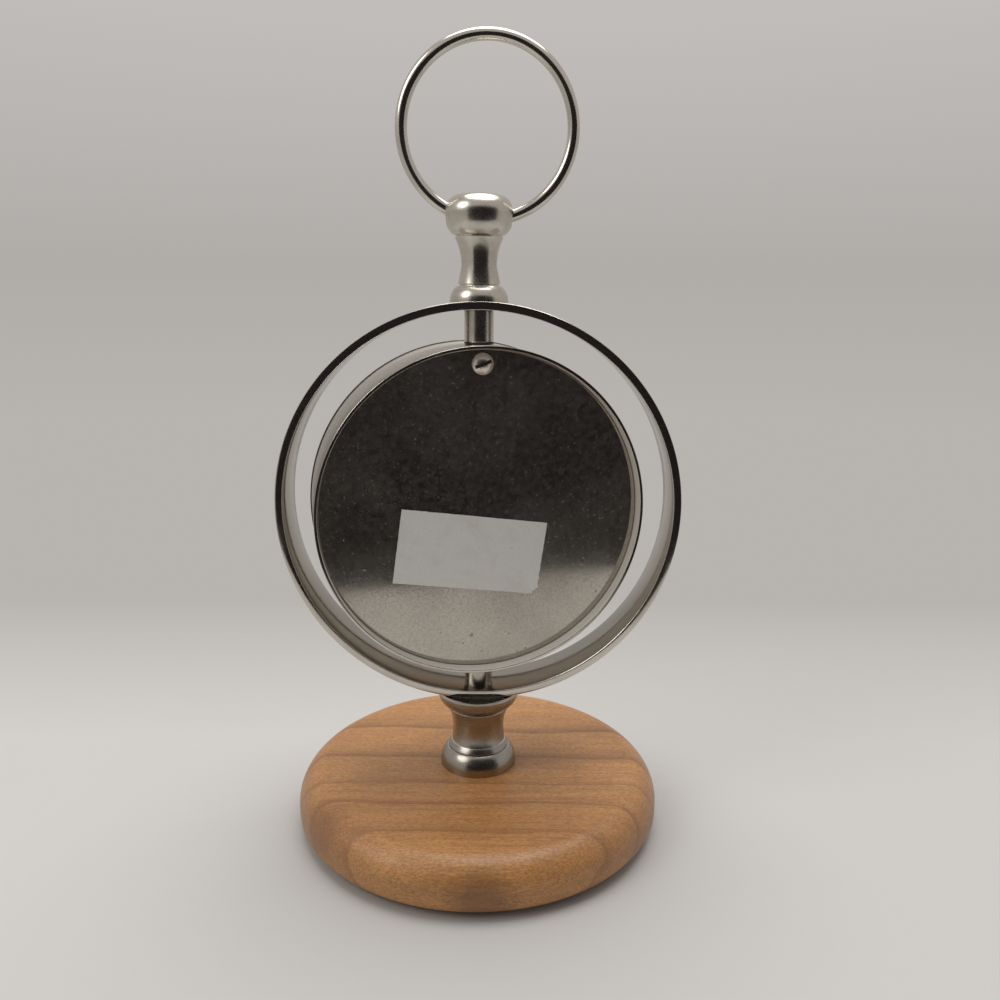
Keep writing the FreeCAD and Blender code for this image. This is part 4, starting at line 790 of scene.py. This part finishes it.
# %% Finish and piece
def cover_nickel():
    material, tree, where = new_finish("cover_nickel", (0, 0, -SWIVEL_HEIGHT * MM), -DIAL_TURN)
    haze = spread(tree, cloud(tree, where, 34.0, 4.0, 0.55, 0.15), 0.42, 0.70)
    fine = cloud(tree, where, 420.0, 6.0, 0.7)
    lines = most(tree, hairlines(tree, 0.0, 200, 3600, 0.70), hairlines(tree, 0.0, 3200, 260, 0.71, 0.7))
    gritty = spread(tree, cloud(tree, where, 1300.0, 5.0, 0.8), 0.46, 0.60)
    pits = spread(tree, cloud(tree, where, 420.0, 1.0), 0.74, 0.77)
    marks = most(tree, spread(tree, cloud(tree, where, 1300.0, 2.0), 0.70, 0.75), pits)
    plate = mixed(tree, haze, (0.560, 0.530, 0.470), (0.460, 0.432, 0.378))
    plate = mixed(tree, spread(tree, fine, 0.35, 0.7, 0.0, 0.25), plate, (0.66, 0.62, 0.55))
    plate = tinted(tree, plate, marks, 0.6, (0.24, 0.215, 0.18))
    plate = tinted(tree, plate, gritty, 0.55, (0.33, 0.305, 0.255))
    dull = spread(tree, haze, 0, 1, 0.045, 0.12)
    for pattern, share in ((lines, 0.05), (gritty, 0.05), (marks, 0.25)):
        dull = plus(tree, dull, times(tree, pattern, share))
    veil = spread(tree, cloud(tree, where, 28.0, 3.0, 0.55), 0.42, 0.66)
    mist = spread(tree, cloud(tree, where, 520.0, 6.0, 0.75), 0.36, 0.70, 0.0, 0.12)
    dust = spread(tree, cloud(tree, where, 1150.0, 2.0, 0.6), 0.63, 0.72, 0.0, 0.18)
    film = plus(tree, plus(tree, mist, dust), times(tree, veil, 0.09))
    height = minus(tree, plus(tree, fine, times(tree, gritty, 0.5)), plus(tree, lines, pits))
    return dress(material, base_color=plate, roughness=dull, metallic=minus(tree, 1.0, film),
                 normal=bumped(tree, height, 0.0000035, 0.3))


def back_cover():
    bm = disc(48.3, COVER_BACK, COVER_FRONT, 320, edge=0.15)
    finish_piece(bm, "cover_plate", "drum", "nickel", drum_place, ["back_cover"], cover_nickel())


back_cover()

# %% [markdown]
# ## Cover screw
# One domed screw near the top holds the cover. Its head is a low dome over a thin straight edge, and
# its slot was left turned a little by the screwdriver. The dome is turned, and the slot is a bar
# taken out of it, which leaves the crisp corners a real slot has.

# %% Screw
def cover_screw():
    profile = [(0, -2.0), (3.15, -0.5, 4.06), (3.15, 0.0), (1.25, 0.0), (1.25, 2.0), (0, 2.0)]
    bm = lathe(profile, 96, edge=0.12)
    satin_faces(bm, 0.9, all_round=True)
    place = drum_place @ moved(0, 44.2, COVER_BACK)
    piece = finish_piece(bm, "screw_domed", "drum", "nickel", place, ["cover_screw"])
    bar = bmesh.new()
    bmesh.ops.create_cube(bar, size=1.0,
                          matrix=moved(0, 0, -1.6) @ turned(-21, "Z") @ Matrix.Diagonal((9.0, 1.0, 1.0, 1)))
    cut_away(piece, bar, place)


cover_screw()

# %% [markdown]
# ## Paper label
# A bare paper label sticks to the cover, a little crooked. One lower corner is torn and lifts a
# hair's breadth. A flat white box would look printed on, so the sheet is a fine grid whose torn
# corner is cut away, roughened and bent up before the sheet gets its thickness.

# %% Paper finish
def paper_finish():
    material, tree, where = new_finish("paper", turn=-DIAL_TURN, roughness=0.8)
    threads = stretched(tree, (2600, 2600, 1100), 5.0, 0.7, turn=0.4)
    stain = spread(tree, cloud(tree, where, 90.0, 4.0, 0.6, 0.5), 0.50, 0.72)
    flecks = spread(tree, cloud(tree, where, 1900.0, 1.0), 0.74, 0.78, 0.0, 0.5)
    sheet = mixed(tree, spread(tree, threads, 0.3, 0.7), (0.80, 0.785, 0.75), (0.88, 0.87, 0.84))
    sheet = tinted(tree, sheet, stain, 0.35, (0.62, 0.57, 0.48))
    sheet = mixed(tree, flecks, sheet, (0.35, 0.32, 0.28))
    return dress(material, base_color=sheet, normal=bumped(tree, threads, 0.00003, 0.6))


file_finish("paper", paper_finish())

# %% Label with a torn corner
def paper_label():
    rng = random.Random(7)
    wide, high, torn, lifted, ragged = 44.7, 22.7, 1.5, 11, 0.05
    bm = bmesh.new()
    bmesh.ops.create_grid(bm, x_segments=90, y_segments=46, size=0.5,
                          matrix=Matrix.Diagonal((wide, high, 1, 1)))
    gone = [v for v in bm.verts if (v.co.x + wide / 2) + (v.co.y + high / 2) < torn + rng.uniform(-0.3, 0.3)]
    bmesh.ops.delete(bm, geom=gone, context="VERTS")
    for vert in bm.verts:
        reach = max(0.0, 1 - ((vert.co.x + wide / 2) + (vert.co.y + high / 2)) / lifted)
        if vert.is_boundary:
            vert.co.x += rng.uniform(-ragged, ragged) * (1 + 3 * reach)
            vert.co.y += rng.uniform(-ragged, ragged) * (1 + 3 * reach)
        wave = noise.noise(Vector((vert.co.x * 0.12, vert.co.y * 0.2, 3.0)))
        vert.co.z = -0.03 - 0.02 * (wave + 1) - 0.45 * reach * reach
    bmesh.ops.solidify(bm, geom=bm.faces[:], thickness=0.07)
    face_outwards(bm)
    place = drum_place @ moved(3.5, -12.0, COVER_BACK) @ turned(8, "Z")
    finish_piece(bm, "label_sheet", "drum", "paper", place, ["paper_label"], sharp=40)


paper_label()

# %% [markdown]
# ## Front of the drum
# The front isn't in the picture, so it has what clocks of this kind have: a narrow rounded bezel, flat
# glass, a satin reflector ring that slopes down to the dial, and a pale enamelled dial with plain
# numbers round an arched moon window. Glass is one thin turned disc with tiny chamfers. It lets the
# lamps' light through to the dial by casting no shadow, which is simpler than tracing light through it.

# %% Bezel
def front_bezel():
    profile = [
        (48.55, DIAL_FACE), (48.55, 18.6), (49.9, 18.6), (49.9, 19.7), (49.0, 20.6, 0.9), (47.2, 20.6),
        (45.5, 19.6, 2.4), (47.05, 19.6), (47.05, DIAL_FACE),
    ]
    bm = lathe(profile, 320, closed=True, edge=0.08)
    finish_piece(bm, "bezel_ring", "drum", "nickel", drum_place, ["bezel"])


front_bezel()

# %% Glass
GLASS_RADIUS = 46.95


def glass_finish():
    material, tree, where = new_finish("clear_glass", transmission_weight=1.0, ior=1.46)
    smear = spread(tree, cloud(tree, where, 40.0, 5.0, 0.6, 1.2), 0.52, 0.74)
    return dress(material, base_color=mixed(tree, smear, (0.985, 0.992, 0.988), (0.95, 0.955, 0.95)),
                 roughness=spread(tree, smear, 0, 1, 0.0, 0.045),
                 normal=bumped(tree, hairlines(tree, 0.9, 40, 2400, 0.69), 0.000002, 0.15))


file_finish("clear_glass", glass_finish())


def front_glass():
    bm = disc(GLASS_RADIUS, GLASS_BACK, 19.6, 256, edge=0.2)
    pane = finish_piece(bm, "glass_pane", "drum", "clear_glass", drum_place, ["crystal"])
    pane.visible_shadow = False


front_glass()

# %% [markdown]
# ## Painted, moulded and plain metal finishes
# The other finishes share one recipe: a colour that drifts between two tones, a fine grain, a few
# scratches and dust specks, roughness that follows the drift, and edges rubbed a little paler. What
# changes from one to the next is its numbers, so one helper makes them and a table lists them.

# %% One recipe for many finishes
def coated(name, light, dark, edge, calm, worn, grain=900.0, depth=0.00002, stretch=(1, 1, 1), **fixed):
    """Calm and worn are the roughness of the light and the dark tone."""
    material, tree, where = new_finish(name, turn=-DIAL_TURN, **fixed)
    drift = spread(tree, cloud(tree, where, 70.0, 5.0, 0.6), 0.35, 0.68)
    fine = stretched(tree, tuple(grain * part for part in stretch), 4.0, 0.65, turn=-DIAL_TURN)
    lines = most(tree, hairlines(tree, 0.7, 70, 2300, 0.68), hairlines(tree, 2.4, 90, 2700, 0.69, 0.4))
    specks = spread(tree, cloud(tree, where, 1500.0, 1.0), 0.75, 0.78)
    coat = mixed(tree, drift, light, dark)
    coat = mixed(tree, spread(tree, fine, 0.3, 0.7, 0.0, 0.35), coat, edge)
    coat = tinted(tree, coat, most(tree, carried(tree, "wear"), lines), 0.4, edge)
    dull = plus(tree, spread(tree, drift, 0, 1, calm, worn), times(tree, plus(tree, lines, specks), 0.12))
    return dress(material, base_color=coat, roughness=dull,
                 normal=bumped(tree, minus(tree, fine, times(tree, lines, 0.8)), depth, 0.5))


# Name: light tone, dark tone, rubbed edges, roughness when calm and when worn, and what else differs.
COATS = {
    "felt": ((0.030, 0.032, 0.031), (0.014, 0.015, 0.015), (0.085, 0.085, 0.082), 0.9, 1.0,
             dict(grain=2600, depth=0.0003, sheen_weight=0.5, sheen_roughness=0.5)),
    "steel": ((0.56, 0.55, 0.52), (0.44, 0.43, 0.41), (0.70, 0.69, 0.66), 0.22, 0.36,
              dict(stretch=(1, 1, 6), metallic=1.0)),
    "brass": ((0.74, 0.53, 0.24), (0.60, 0.41, 0.17), (0.86, 0.68, 0.38), 0.18, 0.34,
              dict(grain=1600, depth=0.000008, metallic=1.0)),
    "reflector": ((0.70, 0.69, 0.66), (0.62, 0.61, 0.58), (0.80, 0.79, 0.76), 0.24, 0.34,
                  dict(grain=2600, depth=0.000006, metallic=0.9)),
    "dial_enamel": ((0.84, 0.80, 0.70), (0.78, 0.735, 0.63), (0.88, 0.85, 0.77), 0.30, 0.42,
                    dict(grain=1800, depth=0.000008, coat_weight=0.4, coat_roughness=0.08)),
    "black_plastic": ((0.020, 0.020, 0.021), (0.012, 0.012, 0.012), (0.055, 0.055, 0.055), 0.38, 0.55,
                      dict(grain=1500, depth=0.00004)),
    "grey_plastic": ((0.30, 0.30, 0.29), (0.24, 0.24, 0.235), (0.40, 0.40, 0.39), 0.36, 0.5,
                     dict(grain=1500, depth=0.00003)),
    "copper": ((0.72, 0.30, 0.13), (0.52, 0.20, 0.08), (0.85, 0.46, 0.24), 0.24, 0.36,
               dict(grain=400, depth=0.00006, stretch=(0.1, 0.1, 12), metallic=1.0)),
    "board": ((0.030, 0.150, 0.060), (0.020, 0.100, 0.040), (0.10, 0.26, 0.12), 0.30, 0.45,
              dict(grain=700, depth=0.00003, stretch=(1, 1, 3))),
    "black_paint": ((0.016, 0.016, 0.017), (0.010, 0.010, 0.011), (0.035, 0.035, 0.037), 0.25, 0.4,
                    dict(grain=1400, depth=0.000006)),
}
for name, (*tones, more) in COATS.items():
    file_finish(name, coated(name, *tones, **more))

# %% [markdown]
# ## Cell wrap and moon disc
# Two finishes have a pattern of their own. The cell has a plain pale wrap with one dark band towards
# its positive end. The moon disc is deep blue enamel with two plain gold moons opposite each other
# and small stars. Each pattern is worked out from a distance, so its edges stay sharp at any size.

# %% Cell wrap
def cell_finish():
    material, tree, where = new_finish("cell_wrap", turn=-DIAL_TURN, coat_weight=0.5, coat_roughness=0.1)
    along = parts(tree, where)[0]
    band = spread(tree, along, 0.0120, 0.0122)
    metal = spread(tree, sums("ABSOLUTE", tree, along), 0.02440, 0.02445)
    scuff = cloud(tree, where, 260.0, 5.0, 0.7)
    wrap = mixed(tree, scuff, (0.60, 0.61, 0.62), (0.50, 0.51, 0.52))
    wrap = mixed(tree, band, wrap, (0.025, 0.055, 0.075))
    wrap = mixed(tree, spread(tree, scuff, 0.62, 0.72, 0.0, 0.35), wrap, (0.30, 0.30, 0.29))
    return dress(material, base_color=mixed(tree, metal, wrap, (0.62, 0.61, 0.58)), metallic=metal,
                 roughness=spread(tree, scuff, 0.3, 0.7, 0.24, 0.42),
                 normal=bumped(tree, cloud(tree, where, 700.0, 3.0), 0.00001, 0.4))


file_finish("cell_wrap", cell_finish())

# %% Moon disc
def moon_finish():
    material, tree, where = new_finish("moon_enamel", (0, 0, -(SWIVEL_HEIGHT + MOON_RISE) * MM),
                                       -DIAL_TURN, coat_weight=0.6, coat_roughness=0.06)
    x, _, z = parts(tree, where)[:3]
    flat = joined(tree, X=x, Z=z)
    cells = add_node(tree, "TexVoronoi", {"Vector": flat, "Scale": 520.0}).outputs
    chosen, brightness = add_node(tree, "SeparateColor", {"Color": cells["Color"]}).outputs[:2]
    star = sums("LESS_THAN", tree, cells["Distance"], spread(tree, brightness, 0.0, 1.0, 0.05, 0.15))
    star = times(tree, star, sums("GREATER_THAN", tree, chosen, 0.62))
    blue = mixed(tree, cloud(tree, where, 240.0, 4.0), (0.010, 0.030, 0.120), (0.016, 0.050, 0.185))
    sky = mixed(tree, star, blue, (0.86, 0.74, 0.42))
    gilding = spread(tree, cloud(tree, where, 420.0, 3.0, 0.5, 0.6), 0.45, 0.62)
    gold = mixed(tree, gilding, (0.86, 0.69, 0.33), (0.66, 0.48, 0.20))
    moon_way, edge = 0.0088, 0.00003
    for bearing in (78, 258):
        angle = math.radians(bearing)
        middle = (moon_way * math.cos(angle), 0.0, moon_way * math.sin(angle))
        away = measured(tree, "DISTANCE", flat, middle)
        for size, colour in ((0.00615, (0.30, 0.20, 0.07)), (0.00595, gold)):
            sky = mixed(tree, spread(tree, away, size - edge, size + edge, 1, 0), sky, colour)
    return dress(material, base_color=sky,
                 roughness=spread(tree, cloud(tree, where, 300.0, 4.0), 0.3, 0.7, 0.22, 0.36),
                 normal=bumped(tree, cloud(tree, where, 1500.0, 3.0), 0.00001, 0.4))


file_finish("moon_enamel", moon_finish())

# %% [markdown]
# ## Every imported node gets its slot's finish
# The record says which nodes take which finish. The wheels, the movement's housing, the cell and the
# other inner pieces already have the right shape, so they stay and only change their finish.

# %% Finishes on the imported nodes
for entry in frame["record"]["subparts"]:
    mesh = frame["nodes"][entry["node"]].data
    mesh.materials.clear()
    mesh.materials.append(finishes[entry["material_slot"]])

# %% [markdown]
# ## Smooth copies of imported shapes
# The dial, the moon disc and the hands are cut from sheet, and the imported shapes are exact. Their
# meshes are loose triangles, though, which catch the light unevenly. A copy is merged at its corners
# first, and then shaded smooth up to its real edges. The clip's foot passes close to the corners of
# the lower nut as the drum turns, so its copy is hollowed there.

# %% Dial, moon disc, hands and clip
def from_packed(node, name, body, slot):
    shape = bmesh.new()
    shape.from_mesh(frame["nodes"][node].data)
    bmesh.ops.remove_doubles(shape, verts=shape.verts, dist=1e-6)
    return hang_piece(mesh_of(shape, name), name, body, slot, [node])


from_packed("dial", "dial_sheet", "drum", "dial_enamel")
from_packed("moon_disc", "moon_sheet", "moon_work", "moon_enamel")
from_packed("hour_hand", "hour_blade", "hour_work", "black_paint")
from_packed("minute_hand", "minute_blade", "minute_work", "black_paint")
clip = from_packed("cover_clip", "clip_spring", "drum", "steel")
room_for_nut, nut_place = rod(3.45, 2.4), moved(0, 0, 54.9)
cut_away(clip, room_for_nut, nut_place)

# %% Small turned pieces at the front and the felt
def small_turned_pieces():
    bm = lathe([(0, 16.8), (1.9, 16.8), (1.9, 17.3), (1.2, 17.6, 0.6), (0, 17.6)], 64, edge=0.05)
    finish_piece(bm, "nut_domed", "minute_work", "brass", drum_place, ["hand_nut"])
    slope = [(44.4, DIAL_FACE), (GLASS_RADIUS, DIAL_FACE), (GLASS_RADIUS, GLASS_BACK), (45.5, GLASS_BACK)]
    bm = lathe(slope, 256, closed=True, edge=0.06)
    finish_piece(bm, "reflector_slope", "drum", "reflector", drum_place, ["reflector_ring"])
    felt = [(0, 0), (49.6, 0), (50.0, 0.4, 0.4), (50.0, FELT_THICKNESS), (0, FELT_THICKNESS)]
    bm = lathe(felt, 256, edge=0)
    finish_piece(bm, "felt_disc", "stand", "felt", instead_of=["felt_pad"])


small_turned_pieces()

# %% [markdown]
# ## Print on the dial
# The dial carries plain numbers, a minute track between two fine circles, and a scale of the moon's
# twenty-nine and a half days over the window. Print has a little thickness of its own, so each mark
# is a thin closed shape lying on the enamel. Numbers are text made into a mesh first.

# %% Marks and numbers
PRINT_THICKNESS = 0.03
PRINT_MIDDLE = DIAL_FACE + PRINT_THICKNESS / 2
FINE_LINE, THIN_MARK, WIDE_MARK = 0.12, 0.2, 0.75
TRACK_INSIDE, TRACK_OUTSIDE = 42.05, 44.0
NUMBER_RADIUS, NUMBER_HEIGHT = 39.3, 3.9


def mark(bm, bearing, inner, outer, width, rise=0.0):
    """One radial stroke of print; bearing is clockwise from twelve o'clock."""
    place = (moved(0, rise, PRINT_MIDDLE) @ turned(90 - bearing, "Z") @ moved((inner + outer) / 2, 0, 0)
             @ Matrix.Diagonal((outer - inner, width, PRINT_THICKNESS, 1)))
    bmesh.ops.create_cube(bm, size=1.0, matrix=place)


def number(bm, text, bearing, radius, height):
    curve = bpy.data.curves.new("number", "FONT")
    curve.body = text
    curve.size = height / 0.7
    curve.align_x, curve.align_y = "CENTER", "CENTER"
    curve.extrude = PRINT_THICKNESS / 2
    curve.offset = 0.07
    letter = in_room("number", curve)
    mesh = shown_mesh(letter)
    low, high = (Vector((end(v.co.x for v in mesh.vertices), end(v.co.y for v in mesh.vertices), 0))
                 for end in (min, max))
    angle = math.radians(90 - bearing)
    goal = Vector((radius * math.cos(angle), radius * math.sin(angle), PRINT_MIDDLE))
    mesh.transform(moved(*(goal - (low + high) / 2)))
    bm.from_mesh(mesh)
    bpy.data.objects.remove(letter)
    bpy.data.curves.remove(curve)
    bpy.data.meshes.remove(mesh)


def dial_print():
    bm = bmesh.new()
    for inner in (TRACK_INSIDE, TRACK_OUTSIDE):
        add_shape(bm, tube(inner, inner + FINE_LINE, DIAL_FACE, DIAL_FACE + PRINT_THICKNESS, 240, edge=0))
    for minute in range(60):
        mark(bm, minute * 6, TRACK_INSIDE + FINE_LINE, TRACK_OUTSIDE, THIN_MARK if minute % 5 else WIDE_MARK)
    for day in range(21):
        mark(bm, day * 8 - 80, 16.3, 17.0 if day % 5 else 17.6, 0.22, MOON_RISE)
    for hour in range(1, 13):
        number(bm, str(hour), hour * 30, NUMBER_RADIUS, NUMBER_HEIGHT)
    face_outwards(bm)
    finish_piece(bm, "dial_print", "drum", "black_paint", drum_place)


dial_print()
